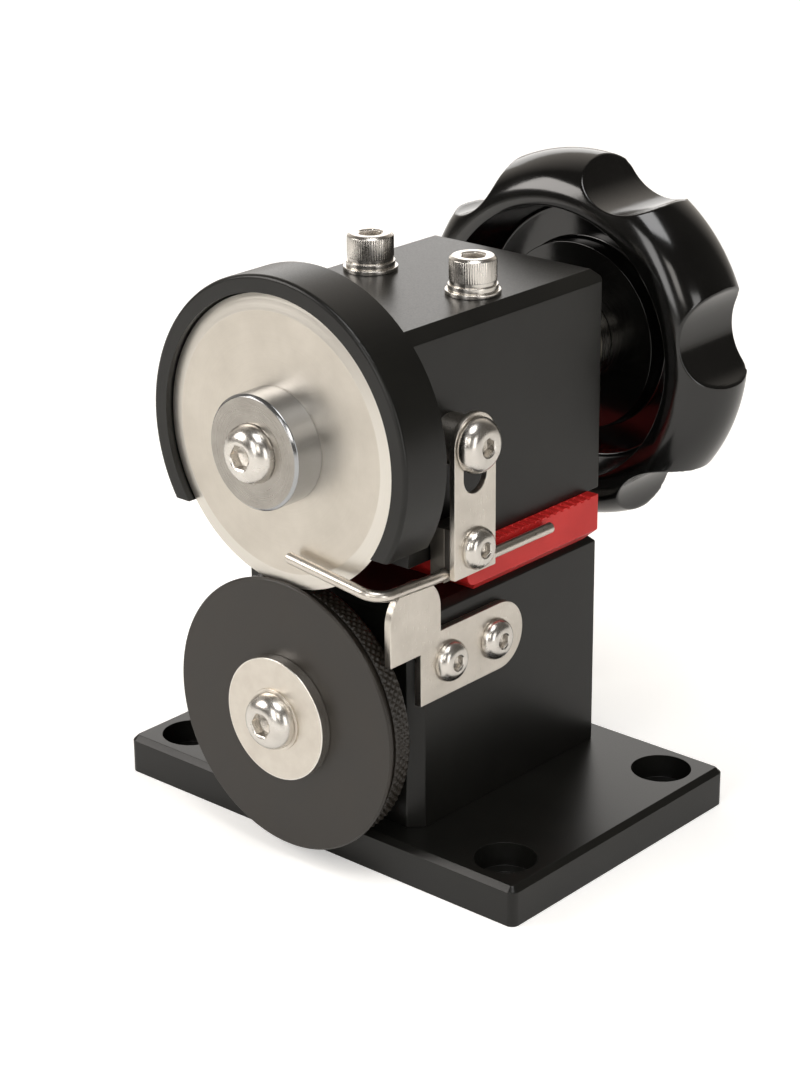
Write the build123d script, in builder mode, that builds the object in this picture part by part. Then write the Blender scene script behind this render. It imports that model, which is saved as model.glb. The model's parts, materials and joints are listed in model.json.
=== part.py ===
from build123d import *
import math
import os

os.makedirs("parts", exist_ok=True)

# A bench machine that trims the seam edge of round leather handles. Sizes are in millimetres.
# X runs across the machine, Y runs along its two shafts with the blade at the -Y end and the
# handwheel at the +Y end, and Z points up from the underside of the base.

# ---- driving dimensions ----

# base plate
base_width = 95.0
base_depth = 62.5
base_thickness = 7.5
base_edge_chamfer = 1.0
base_corner_radius = 1.5
bench_hole_spacing_x = 78.0
bench_hole_spacing_y = 46.0
bench_hole_radius = 3.3
bench_counterbore_radius = 5.6
bench_counterbore_depth = 4.5

# the two shaft blocks and the red plate that sets the distance between them
lower_block_width = 42.0
lower_block_height = 41.85
lower_block_corner = 2.4
lower_block_front_y = -25.8
lower_block_back_y = 25.2
upper_block_width = 40.9
upper_block_height = 41.5
upper_block_side_chamfer = 2.1
upper_block_end_chamfer = 1.3
upper_block_front_y = -27.0
upper_block_back_y = 26.9
block_edge_chamfer = 1.3
block_back_chamfer = 0.5
spacer_width = 45.6
spacer_height = 8.85
spacer_front_y = -14.0
spacer_back_y = 23.4
spacer_nose_radius = 1.9
spacer_lower_chamfer = 1.95
spacer_groove_pitch = 2.0
spacer_groove_width = 0.9
spacer_groove_depth = 0.35

# shafts and their 12 x 24 x 6 ball bearings
lower_shaft_z = 28.3
upper_shaft_above_block = 20.85
shaft_radius = 6.0
shaft_middle_radius = 7.0
tunnel_radius = 8.5
bearing_radius = 12.0
bearing_width = 6.0
bearing_inset = 0.5
bearing_seat_clearance = 0.02
outer_race_radius = 10.2
inner_race_radius = 7.8
ball_circle_radius = 9.0
ball_radius = 1.5
ball_clearance = 0.1
ball_count = 10
shield_inner_radius = 8.2
shield_inset = 0.5
shield_thickness = 0.3
lower_rear_bearing_y = 17.7
lower_shaft_tail = 0.4
ring_thickness = 1.0
ring_groove_radius = 5.7
ring_outer_radius = 8.8
ring_gap = 3.0

# blade end of the upper shaft
blade_radius = 26.2
blade_bevel_radius = 23.3
blade_front_y = -37.1
blade_thickness = 0.7
blade_edge_land = 0.05
blade_spacer_flange_radius = 10.0
blade_spacer_flange_width = 6.0
blade_spacer_neck_radius = 7.6
hub_radius = 10.3
hub_length = 6.25
hub_wall = 2.6
hub_chamfer = 0.5

# roller end of the lower shaft
roller_radius = 25.0
roller_front_y = -35.3
roller_back_y = -31.6
roller_back_chamfer = 0.5
roller_recess_radius = 24.2
anvil_radius = 25.5
anvil_front_y = -37.6
anvil_thickness = 0.65
anvil_chamfer = 0.3
roller_washer_radius = 11.45
roller_washer_thickness = 2.2
thin_washer_radius = 5.75
thin_washer_thickness = 0.4

# guard round the blade
guard_radius = 29.6
guard_bore_radius = 26.5
guard_front_y = -37.9
guard_plate_front_y = -29.6
guard_lip_radius = 0.8
guard_back_chamfer = 0.5
guard_spindle_hole_radius = 10.9
guard_cut_z = 63.6
guard_screw_x = 14.5
guard_screw_z = 11.5
guard_screw_length = 10.0
guard_tap_depth = 8.5

# handwheel
wheel_back_y = 55.0
wheel_lip_radius = 26.65
wheel_lip_y = 37.7
wheel_rim_circle_y = 47.8
wheel_rim_circle_radius = 12.25
wheel_rim_circle_centre = 23.4
wheel_rim_start_y = 41.0
wheel_rim_end_y = 54.2
wheel_groove_floor_y = 49.0
wheel_groove_floor_radius = 24.8
wheel_boss_radius = 18.4
wheel_boss_y = 44.9
wheel_boss_chamfer = 0.5
wheel_scoop_count = 6
wheel_scoop_angle = 9.1
wheel_scoop_radius = 11.0
wheel_scoop_centre = 40.9
wheel_recess_radius = 10.5
wheel_recess_floor_y = 50.0
wheel_back_chamfer = 1.2
wheel_scoop_overrun = 1.0
shaft_end_gap = 0.2
wheel_dish_radius = 14.0
wheel_dish_depth = 1.0
insert_radius = 9.0
insert_front_y = 42.0
wheel_spacer_radius = 8.5
wheel_washer_radius = 9.5
wheel_washer_thickness = 1.6
key_width = 4.0
key_bottom_radius = 4.0
key_top_radius = 7.9
keyway_clearance = 0.1

# fasteners: thread radius, head radius, head height and key width
m4_thread = 2.0
m4_button_head = 3.8
m4_button_height = 2.2
m4_button_key = 2.5
m4_flat_head = 4.0
m5_thread = 2.5
m5_button_head = 5.0
m5_button_height = 3.0
m5_button_key = 3.0
m5_cap_head = 4.25
m5_cap_height = 5.0
m5_cap_key = 4.0
m5_flat_head = 5.0
m6_thread = 3.0
m6_button_head = 5.25
m6_button_height = 3.3
m6_button_key = 4.0
end_screw_length = 16.0
shaft_tap_depth = 18.0
thread_clearance = 0.05
hole_clearance = 0.25

# the two tall screws that hold the upper block down, and their washers
clamp_screw_x = 12.0
clamp_screw_y = 0.3
clamp_screw_length = 65.0
flat_washer_radius = 5.0
flat_washer_thickness = 0.8
spring_washer_radius = 4.5
spring_washer_thickness = 1.0
spring_washer_slit = 0.8

# screws that hold the lower block to the base from below
base_screw_x = 14.0
base_screw_y = 17.0
base_screw_length = 18.0

# slotted guide bracket, its jaws and the bent wire that they grip
bracket_y = -16.25
bracket_width = 11.0
bracket_inner_x = 25.25
bracket_thickness = 1.2
bracket_bottom_z = 55.8
bracket_top_z = 85.0
slot_width = 6.2
slot_bottom_z = 70.6
slot_top_z = 82.25
bracket_screw_z = 79.3
bracket_screw_length = 14.0
bracket_tap_depth = 10.0
sleeve_radius = 4.5
jaw_top_z = 65.0
jaw_inner_x = 20.85
jaw_split_x = 24.1
jaw_screw_y = -15.9
jaw_screw_z = 60.4
jaw_screw_length = 5.0
jaw_plate_clear_z = 58.8
jaw_lip_z = 54.9
jaw_lip_back_y = -14.4
wire_radius = 1.0
wire_clearance = 0.05
wire_z = 56.6
wire_back_y = 7.5
wire_kink_y = -25.0
wire_front_y = -39.0
wire_corner_z = 57.3
wire_tip_x = 3.8
wire_tip_z = 59.8
wire_corner_bend = 3.5
wire_kink_bend = 12.0
bracket_play = 0.05

# steel side plate on the lower block
side_plate_thickness = 1.5
side_leg_z = 38.95
side_leg_radius = 6.45
side_leg_back_y = -4.6
side_ear_y = -27.4
side_ear_z = 49.8
side_ear_radius = 6.6
side_cutback_y = -26.2
side_cutback_z = 42.4
side_screw_front_y = -18.5
side_screw_back_y = -6.0
side_screw_length = 8.0

# ---- dimensions worked out from those above ----

lower_block_top_z = base_thickness + lower_block_height
upper_block_bottom_z = lower_block_top_z + spacer_height
upper_block_top_z = upper_block_bottom_z + upper_block_height
upper_shaft_z = upper_block_bottom_z + upper_shaft_above_block
blade_back_y = blade_front_y + blade_thickness
hub_front_y = blade_front_y - hub_length
anvil_back_y = anvil_front_y + anvil_thickness
lower_front_bearing_y = lower_block_front_y + bearing_inset
upper_front_bearing_y = upper_block_front_y + bearing_inset
upper_rear_bearing_y = upper_block_back_y - bearing_inset - bearing_width
bearing_seat_radius = bearing_radius + bearing_seat_clearance
bracket_outer_x = bracket_inner_x + bracket_thickness
base_tap_depth = base_screw_length - base_thickness + m5_thread
clamp_tap_depth = clamp_screw_length - spacer_height - upper_block_height + m5_thread
clamp_places = [(clamp_screw_x, clamp_screw_y), (-clamp_screw_x, clamp_screw_y)]
block_length_below = lower_block_back_y - lower_block_front_y
block_length_above = upper_block_back_y - upper_block_front_y

upper_axis = Axis((0, 0, upper_shaft_z), (0, 1, 0))
lower_axis = Axis((0, 0, lower_shaft_z), (0, 1, 0))

# planes through a shaft's centre line, in which a point is (place along the shaft, radius)
upper_profile = Plane(origin=(0, 0, upper_shaft_z), x_dir=(0, 1, 0), z_dir=(1, 0, 0))
lower_profile = Plane(origin=(0, 0, lower_shaft_z), x_dir=(0, 1, 0), z_dir=(1, 0, 0))


def cross_plane(y, z):
    """Plane across a shaft, facing the front of the machine, with its origin on the shaft line."""
    return Plane(origin=(0, y, z), x_dir=(1, 0, 0), z_dir=(0, -1, 0))


def back_plane(y, z):
    """The same, facing the back of the machine."""
    return Plane(origin=(0, y, z), x_dir=(-1, 0, 0), z_dir=(0, 1, 0))


def side_plane(x, y, z):
    """Plane facing the +X side of the machine."""
    return Plane(origin=(x, y, z), x_dir=(0, 1, 0), z_dir=(1, 0, 0))


def button_screw(thread, head_radius, head_height, key, length):
    """Button-head socket screw: the head stands on z = 0 and the shank hangs below it."""
    rim_height = 0.15 * head_height
    crown_radius = 0.52 * head_radius
    arc_radius = 0.86 * head_radius
    arc_height = 0.70 * head_height
    tip_chamfer = 0.2 * thread
    with BuildPart() as screw:
        with BuildSketch(Plane.XZ):
            with BuildLine():
                Polyline(
                    (0, -length),
                    (thread - tip_chamfer, -length),
                    (thread, tip_chamfer - length),
                    (thread, 0),
                    (head_radius, 0),
                    (head_radius, rim_height),
                )
                ThreePointArc(
                    (head_radius, rim_height),
                    (arc_radius, arc_height),
                    (crown_radius, head_height),
                )
                Polyline((crown_radius, head_height), (0, head_height), (0, -length))
            make_face()
        revolve(axis=Axis.Z)
        with BuildSketch(Plane.XY.offset(head_height)):
            RegularPolygon(radius=key / 2, side_count=6, major_radius=False)
        extrude(amount=-0.6 * head_height, mode=Mode.SUBTRACT)
    return screw.part


def cap_screw(thread, head_radius, head_height, key, length):
    """Cylinder-head socket screw: the head stands on z = 0 and the shank hangs below it."""
    head_chamfer = 0.1 * head_radius
    with BuildPart() as screw:
        with BuildSketch():
            Circle(head_radius)
        extrude(amount=head_height)
        chamfer(screw.edges().group_by(Axis.Z)[-1], head_chamfer)
        with BuildSketch():
            Circle(thread)
        extrude(amount=-length)
        with BuildSketch(Plane.XY.offset(head_height)):
            RegularPolygon(radius=key / 2, side_count=6, major_radius=False)
        extrude(amount=-0.55 * head_height, mode=Mode.SUBTRACT)
    return screw.part


def flat_screw(thread, head_radius, key, length):
    """Countersunk socket screw: its flat top lies at z = 0 and all of it hangs below."""
    head_depth = head_radius - thread
    with BuildPart() as screw:
        with BuildSketch(Plane.XZ):
            with BuildLine():
                Polyline(
                    (0, 0),
                    (head_radius, 0),
                    (thread, -head_depth),
                    (thread, -length),
                    (0, -length),
                    close=True,
                )
            make_face()
        revolve(axis=Axis.Z)
        with BuildSketch():
            RegularPolygon(radius=key / 2, side_count=6, major_radius=False)
        extrude(amount=-0.7 * head_depth, mode=Mode.SUBTRACT)
    return screw.part


def plain_washer(outer_radius, inner_radius, thickness):
    """Flat washer lying on z = 0."""
    edge_break = 0.12 * thickness
    with BuildPart() as washer:
        with BuildSketch():
            Circle(outer_radius)
            Circle(inner_radius, mode=Mode.SUBTRACT)
        extrude(amount=thickness)
        chamfer(washer.edges().group_by(Axis.Z)[-1], edge_break)
    return washer.part


def shaft_ring():
    """External retaining ring for the shaft, open at one side, lying on z = 0."""
    with BuildPart() as ring:
        with BuildSketch():
            Circle(ring_outer_radius)
            Circle(ring_groove_radius, mode=Mode.SUBTRACT)
            with Locations((0, -ring_outer_radius)):
                Rectangle(ring_gap, 2 * ring_outer_radius - ring_groove_radius, mode=Mode.SUBTRACT)
        extrude(amount=ring_thickness)
    return ring.part


# ---- base and blocks ----

with BuildPart() as base_plate:
    with BuildSketch():
        RectangleRounded(base_width, base_depth, base_corner_radius)
    extrude(amount=base_thickness)
    chamfer(base_plate.edges().group_by(Axis.Z)[-1], base_edge_chamfer)
    with Locations(Plane.XY.offset(base_thickness)):
        with GridLocations(bench_hole_spacing_x, bench_hole_spacing_y, 2, 2):
            CounterBoreHole(bench_hole_radius, bench_counterbore_radius, bench_counterbore_depth)
    with Locations(Plane.XY.rotated((180, 0, 0))):
        with GridLocations(2 * base_screw_x, 2 * base_screw_y, 2, 2):
            CounterSinkHole(m5_thread + hole_clearance, m5_flat_head + hole_clearance)
base_plate.part.label = "base_plate"
export_step(base_plate.part, "parts/base_plate.step")

with BuildPart() as base_screws:
    with Locations(Plane.XY.rotated((180, 0, 0))):
        with GridLocations(2 * base_screw_x, 2 * base_screw_y, 2, 2):
            add(flat_screw(m5_thread, m5_flat_head, m5_button_key, base_screw_length))
base_screws.part.label = "base_screws"
export_step(base_screws.part, "parts/base_screws.step")

with BuildPart() as lower_block:
    with BuildSketch(cross_plane(lower_block_back_y, base_thickness)):
        Rectangle(lower_block_width, lower_block_height, align=(Align.CENTER, Align.MIN))
    extrude(amount=block_length_below)
    front_corners = lower_block.faces().sort_by(Axis.Y)[0].edges().filter_by(Axis.Z)
    chamfer(front_corners, lower_block_corner)
    chamfer(lower_block.faces().sort_by(Axis.Z)[-1].edges(), block_edge_chamfer)
    with BuildSketch(cross_plane(lower_block_back_y, lower_shaft_z)):
        Circle(tunnel_radius)
    extrude(amount=block_length_below, mode=Mode.SUBTRACT)
    with BuildSketch(cross_plane(lower_front_bearing_y + bearing_width, lower_shaft_z)):
        Circle(bearing_seat_radius)
    extrude(amount=bearing_width + bearing_inset, mode=Mode.SUBTRACT)
    with BuildSketch(back_plane(lower_rear_bearing_y, lower_shaft_z)):
        Circle(bearing_seat_radius)
    extrude(amount=lower_block_back_y - lower_rear_bearing_y, mode=Mode.SUBTRACT)
    with Locations(Plane.XY.offset(base_thickness).rotated((180, 0, 0))):
        with GridLocations(2 * base_screw_x, 2 * base_screw_y, 2, 2):
            Hole(m5_thread + thread_clearance, depth=base_tap_depth)
    with Locations(Plane.XY.offset(lower_block_top_z)):
        with Locations(*clamp_places):
            Hole(m5_thread + thread_clearance, depth=clamp_tap_depth)
    with Locations(
        side_plane(lower_block_width / 2, side_screw_front_y, side_leg_z),
        side_plane(lower_block_width / 2, side_screw_back_y, side_leg_z),
    ):
        Hole(m4_thread + thread_clearance, depth=side_screw_length)
lower_block.part.label = "lower_block"
export_step(lower_block.part, "parts/lower_block.step")

# The red plate's two long ledges stand out from under the upper block and carry a row of
# shallow grooves along their top edge. Its front is rounded below, and under that its lower
# edges are cut back at 45 degrees all round.
with BuildPart() as spacer_plate:
    with BuildSketch(Plane.XY.offset(lower_block_top_z + spacer_lower_chamfer)):
        with Locations((0, (spacer_front_y + spacer_back_y) / 2)):
            Rectangle(spacer_width, spacer_back_y - spacer_front_y)
    extrude(amount=spacer_height - spacer_lower_chamfer)
    lower_nose = spacer_plate.faces().sort_by(Axis.Y)[0].edges().sort_by(Axis.Z)[0]
    fillet(lower_nose, spacer_nose_radius)
    with BuildSketch(Plane.XY.offset(lower_block_top_z)):
        with Locations((0, (spacer_front_y + spacer_nose_radius + spacer_back_y) / 2)):
            Rectangle(
                spacer_width - 2 * spacer_lower_chamfer,
                spacer_back_y - spacer_front_y - spacer_nose_radius - 2 * spacer_lower_chamfer,
            )
    extrude(amount=spacer_lower_chamfer, taper=-45)
    ledge = (spacer_width - upper_block_width) / 2
    groove_count = int((spacer_back_y - spacer_front_y) / spacer_groove_pitch) - 1
    groove_x = (spacer_width - ledge) / 2
    groove_z = upper_block_bottom_z - spacer_groove_depth / 2
    with Locations((0, (spacer_front_y + spacer_back_y) / 2, groove_z)):
        with GridLocations(2 * groove_x, spacer_groove_pitch, 2, groove_count):
            Box(ledge, spacer_groove_width, spacer_groove_depth, mode=Mode.SUBTRACT)
    with Locations(Plane.XY.offset(upper_block_bottom_z)):
        with Locations(*clamp_places):
            Hole(m5_thread + hole_clearance)
spacer_plate.part.label = "spacer_plate"
export_step(spacer_plate.part, "parts/spacer_plate.step")

with BuildPart() as upper_block:
    with BuildSketch(cross_plane(upper_block_back_y, upper_block_bottom_z)):
        Rectangle(upper_block_width, upper_block_height, align=(Align.CENTER, Align.MIN))
    extrude(amount=block_length_above)
    chamfer(upper_block.faces().sort_by(Axis.Z)[-1].edges().filter_by(Axis.Y), upper_block_side_chamfer)
    chamfer(upper_block.faces().sort_by(Axis.Z)[-1].edges().filter_by(Axis.X), upper_block_end_chamfer)
    chamfer(upper_block.faces().sort_by(Axis.Y)[-1].edges().filter_by(Axis.Z), block_back_chamfer)
    with BuildSketch(cross_plane(upper_block_back_y, upper_shaft_z)):
        Circle(tunnel_radius)
    extrude(amount=block_length_above, mode=Mode.SUBTRACT)
    with BuildSketch(cross_plane(upper_front_bearing_y + bearing_width, upper_shaft_z)):
        Circle(bearing_seat_radius)
    extrude(amount=bearing_width + bearing_inset, mode=Mode.SUBTRACT)
    with BuildSketch(back_plane(upper_rear_bearing_y, upper_shaft_z)):
        Circle(bearing_seat_radius)
    extrude(amount=bearing_width + bearing_inset, mode=Mode.SUBTRACT)
    with Locations(Plane.XY.offset(upper_block_top_z)):
        with Locations(*clamp_places):
            Hole(m5_thread + hole_clearance)
    with Locations(cross_plane(upper_block_front_y, upper_shaft_z)):
        with GridLocations(2 * guard_screw_x, 2 * guard_screw_z, 2, 2):
            Hole(m4_thread + thread_clearance, depth=guard_tap_depth)
    with Locations(side_plane(upper_block_width / 2, bracket_y, bracket_screw_z)):
        Hole(m5_thread + thread_clearance, depth=bracket_tap_depth)
upper_block.part.label = "upper_block"
export_step(upper_block.part, "parts/upper_block.step")

# ---- screws and washers on top ----

spring_washer_z = upper_block_top_z + flat_washer_thickness
clamp_head_z = spring_washer_z + spring_washer_thickness

with BuildPart() as flat_washers:
    with Locations(Plane.XY.offset(upper_block_top_z)):
        with Locations(*clamp_places):
            add(plain_washer(flat_washer_radius, m5_thread + hole_clearance, flat_washer_thickness))
flat_washers.part.label = "flat_washers"
export_step(flat_washers.part, "parts/flat_washers.step")

with BuildPart() as spring_washers:
    with BuildSketch(Plane.XY.offset(spring_washer_z)):
        with Locations(*clamp_places):
            Circle(spring_washer_radius)
            Circle(m5_thread + thread_clearance, mode=Mode.SUBTRACT)
            with Locations((0, -spring_washer_radius)):
                Rectangle(spring_washer_slit, spring_washer_radius, mode=Mode.SUBTRACT)
    extrude(amount=spring_washer_thickness)
spring_washers.part.label = "spring_washers"
export_step(spring_washers.part, "parts/spring_washers.step")

with BuildPart() as clamp_screws:
    with Locations(Plane.XY.offset(clamp_head_z)):
        with Locations(*clamp_places):
            add(cap_screw(m5_thread, m5_cap_head, m5_cap_height, m5_cap_key, clamp_screw_length))
clamp_screws.part.label = "clamp_screws"
export_step(clamp_screws.part, "parts/clamp_screws.step")

# ---- ball bearings, two on each shaft ----

bearings = {
    "upper_front_bearing": (upper_front_bearing_y, upper_profile, upper_axis),
    "upper_rear_bearing": (upper_rear_bearing_y, upper_profile, upper_axis),
    "lower_front_bearing": (lower_front_bearing_y, lower_profile, lower_axis),
    "lower_rear_bearing": (lower_rear_bearing_y, lower_profile, lower_axis),
}

for bearing_name, (bearing_y, bearing_profile, bearing_axis) in bearings.items():
    middle_y = bearing_y + bearing_width / 2
    shield_y = bearing_width / 2 - shield_inset
    groove_depth = ball_radius + ball_clearance

    # The outer ring carries its two thin dust shields.
    with BuildPart() as outer_ring:
        with BuildSketch(bearing_profile):
            with Locations((middle_y, 0)):
                with Locations((0, (outer_race_radius + bearing_radius) / 2)):
                    Rectangle(bearing_width, bearing_radius - outer_race_radius)
                with Locations((0, ball_circle_radius)):
                    Circle(groove_depth, mode=Mode.SUBTRACT)
                shield_middle = (shield_inner_radius + outer_race_radius) / 2
                shield_place = shield_y - shield_thickness / 2
                with Locations((-shield_place, shield_middle), (shield_place, shield_middle)):
                    Rectangle(shield_thickness, outer_race_radius - shield_inner_radius)
        revolve(axis=bearing_axis)
    outer_ring.part.label = bearing_name + "_outer_ring"
    export_step(outer_ring.part, f"parts/{bearing_name}_outer_ring.step")

    with BuildPart() as inner_ring:
        with BuildSketch(bearing_profile):
            with Locations((middle_y, 0)):
                with Locations((0, (inner_race_radius + shaft_radius) / 2)):
                    Rectangle(bearing_width, inner_race_radius - shaft_radius)
                with Locations((0, ball_circle_radius)):
                    Circle(groove_depth, mode=Mode.SUBTRACT)
        revolve(axis=bearing_axis)
    inner_ring.part.label = bearing_name + "_inner_ring"
    export_step(inner_ring.part, f"parts/{bearing_name}_inner_ring.step")

    with BuildPart() as balls:
        with Locations(cross_plane(middle_y, bearing_axis.position.Z)):
            with PolarLocations(ball_circle_radius, ball_count):
                Sphere(ball_radius)
    balls.part.label = bearing_name + "_balls"
    export_step(balls.part, f"parts/{bearing_name}_balls.step")

# ---- upper shaft and what turns with it ----

upper_shaft_front_y = hub_front_y + hub_wall + hole_clearance
upper_shaft_back_y = wheel_recess_floor_y - shaft_end_gap
upper_ring_y = upper_rear_bearing_y + bearing_width

with BuildPart() as upper_shaft:
    with BuildSketch(cross_plane(upper_shaft_back_y, upper_shaft_z)):
        Circle(shaft_radius)
    extrude(amount=upper_shaft_back_y - upper_shaft_front_y)
    chamfer(upper_shaft.edges().filter_by(GeomType.CIRCLE), block_back_chamfer)
    with BuildSketch(cross_plane(upper_rear_bearing_y, upper_shaft_z)):
        Circle(shaft_middle_radius)
    extrude(amount=upper_rear_bearing_y - upper_front_bearing_y - bearing_width)
    with BuildSketch(cross_plane(upper_ring_y + ring_thickness, upper_shaft_z)):
        Circle(shaft_radius)
        Circle(ring_groove_radius, mode=Mode.SUBTRACT)
    extrude(amount=ring_thickness, mode=Mode.SUBTRACT)
    with Locations(
        cross_plane(upper_shaft_front_y, upper_shaft_z),
        back_plane(upper_shaft_back_y, upper_shaft_z),
    ):
        Hole(m6_thread + thread_clearance, depth=shaft_tap_depth)
    with BuildSketch(cross_plane(upper_shaft_back_y, upper_shaft_z)):
        with Locations((0, key_bottom_radius)):
            Rectangle(key_width, shaft_radius, align=(Align.CENTER, Align.MIN))
    extrude(amount=upper_shaft_back_y - insert_front_y, mode=Mode.SUBTRACT)
upper_shaft.part.label = "upper_shaft"
export_step(upper_shaft.part, "parts/upper_shaft.step")

with BuildPart() as upper_retaining_ring:
    with Locations(back_plane(upper_ring_y, upper_shaft_z)):
        add(shaft_ring())
upper_retaining_ring.part.label = "upper_retaining_ring"
export_step(upper_retaining_ring.part, "parts/upper_retaining_ring.step")

with BuildPart() as blade_spacer:
    with BuildSketch(cross_plane(upper_front_bearing_y, upper_shaft_z)):
        Circle(blade_spacer_neck_radius)
    extrude(amount=upper_front_bearing_y - blade_back_y)
    with BuildSketch(cross_plane(blade_back_y + blade_spacer_flange_width, upper_shaft_z)):
        Circle(blade_spacer_flange_radius)
    extrude(amount=blade_spacer_flange_width)
    with BuildSketch(cross_plane(upper_front_bearing_y, upper_shaft_z)):
        Circle(shaft_radius)
    extrude(amount=upper_front_bearing_y - blade_back_y, mode=Mode.SUBTRACT)
blade_spacer.part.label = "blade_spacer"
export_step(blade_spacer.part, "parts/blade_spacer.step")

# The blade is flat at the back and ground from the front, so its edge lies in the back face.
with BuildPart() as blade:
    with BuildSketch(upper_profile):
        with BuildLine():
            Polyline(
                (blade_front_y, shaft_radius),
                (blade_front_y, blade_bevel_radius),
                (blade_back_y - blade_edge_land, blade_radius),
                (blade_back_y, blade_radius),
                (blade_back_y, shaft_radius),
                close=True,
            )
        make_face()
    revolve(axis=upper_axis)
blade.part.label = "blade"
export_step(blade.part, "parts/blade.step")

with BuildPart() as hub_collar:
    with BuildSketch(cross_plane(blade_front_y, upper_shaft_z)):
        Circle(hub_radius)
    extrude(amount=hub_length)
    chamfer(hub_collar.edges().group_by(Axis.Y)[0], hub_chamfer)
    with BuildSketch(cross_plane(blade_front_y, upper_shaft_z)):
        Circle(shaft_radius)
    extrude(amount=hub_length - hub_wall, mode=Mode.SUBTRACT)
    with BuildSketch(cross_plane(blade_front_y, upper_shaft_z)):
        Circle(m6_thread + hole_clearance)
    extrude(amount=hub_length, mode=Mode.SUBTRACT)
hub_collar.part.label = "hub_collar"
export_step(hub_collar.part, "parts/hub_collar.step")

with BuildPart() as blade_screw:
    with Locations(cross_plane(hub_front_y, upper_shaft_z)):
        add(button_screw(m6_thread, m6_button_head, m6_button_height, m6_button_key, end_screw_length))
blade_screw.part.label = "blade_screw"
export_step(blade_screw.part, "parts/blade_screw.step")

# ---- handwheel ----

wheel_spacer_y = upper_ring_y + ring_thickness

with BuildPart() as wheel_spacer:
    with BuildSketch(back_plane(wheel_spacer_y, upper_shaft_z)):
        Circle(wheel_spacer_radius)
        Circle(shaft_radius, mode=Mode.SUBTRACT)
    extrude(amount=insert_front_y - wheel_spacer_y)
wheel_spacer.part.label = "wheel_spacer"
export_step(wheel_spacer.part, "parts/wheel_spacer.step")

with BuildPart() as wheel_insert:
    with BuildSketch(back_plane(insert_front_y, upper_shaft_z)):
        Circle(insert_radius)
        Circle(shaft_radius, mode=Mode.SUBTRACT)
        Rectangle(
            key_width,
            key_top_radius + keyway_clearance,
            align=(Align.CENTER, Align.MIN),
            mode=Mode.SUBTRACT,
        )
    extrude(amount=wheel_recess_floor_y - insert_front_y)
wheel_insert.part.label = "wheel_insert"
export_step(wheel_insert.part, "parts/wheel_insert.step")

with BuildPart() as wheel_key:
    with BuildSketch(back_plane(insert_front_y, upper_shaft_z)):
        with Locations((0, key_bottom_radius)):
            Rectangle(key_width, key_top_radius - key_bottom_radius, align=(Align.CENTER, Align.MIN))
    extrude(amount=upper_shaft_back_y - insert_front_y)
wheel_key.part.label = "wheel_key"
export_step(wheel_key.part, "parts/wheel_key.step")


def rim_radius(y):
    """Outer radius of the handwheel's crowned rim at a place along the shaft."""
    return wheel_rim_circle_centre + math.sqrt(wheel_rim_circle_radius**2 - (y - wheel_rim_circle_y) ** 2)


with BuildPart() as handwheel:
    lip = (wheel_lip_y, wheel_lip_radius)
    rim_start = (wheel_rim_start_y, rim_radius(wheel_rim_start_y))
    rim_top = (wheel_rim_circle_y, rim_radius(wheel_rim_circle_y))
    rim_end = (wheel_rim_end_y, rim_radius(wheel_rim_end_y))
    back_edge = (wheel_back_y, rim_end[1] - wheel_back_chamfer)
    with BuildSketch(upper_profile):
        with BuildLine():
            rim = ThreePointArc(rim_end, rim_top, rim_start)
            TangentArc(rim_start, lip, tangent=rim % 1)
            Line(rim_end, back_edge)
            Polyline(
                back_edge,
                (wheel_back_y - wheel_dish_depth, wheel_dish_radius),
                (wheel_back_y - wheel_dish_depth, wheel_recess_radius),
                (wheel_recess_floor_y, wheel_recess_radius),
                (wheel_recess_floor_y, insert_radius),
                (wheel_boss_y, insert_radius),
                (wheel_boss_y, wheel_boss_radius - wheel_boss_chamfer),
                (wheel_boss_y + wheel_boss_chamfer, wheel_boss_radius),
                (wheel_groove_floor_y, wheel_boss_radius),
                (wheel_groove_floor_y, wheel_groove_floor_radius),
                lip,
            )
        make_face()
    revolve(axis=upper_axis)
    with BuildSketch(back_plane(wheel_lip_y - wheel_scoop_overrun, upper_shaft_z)):
        with PolarLocations(wheel_scoop_centre, wheel_scoop_count, start_angle=180 - wheel_scoop_angle):
            Circle(wheel_scoop_radius)
    extrude(amount=wheel_back_y - wheel_lip_y + 2 * wheel_scoop_overrun, mode=Mode.SUBTRACT)
handwheel.part.label = "handwheel"
export_step(handwheel.part, "parts/handwheel.step")

with BuildPart() as wheel_washer:
    with Locations(back_plane(wheel_recess_floor_y, upper_shaft_z)):
        add(plain_washer(wheel_washer_radius, m6_thread + hole_clearance, wheel_washer_thickness))
wheel_washer.part.label = "wheel_washer"
export_step(wheel_washer.part, "parts/wheel_washer.step")

with BuildPart() as wheel_screw:
    with Locations(back_plane(wheel_recess_floor_y + wheel_washer_thickness, upper_shaft_z)):
        add(button_screw(m6_thread, m6_button_head, m6_button_height, m6_button_key, end_screw_length))
wheel_screw.part.label = "wheel_screw"
export_step(wheel_screw.part, "parts/wheel_screw.step")

# ---- lower shaft and what turns with it ----

lower_shaft_front_y = anvil_front_y + shaft_end_gap
lower_ring_y = lower_rear_bearing_y + bearing_width
lower_shaft_back_y = lower_ring_y + ring_thickness + lower_shaft_tail

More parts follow.
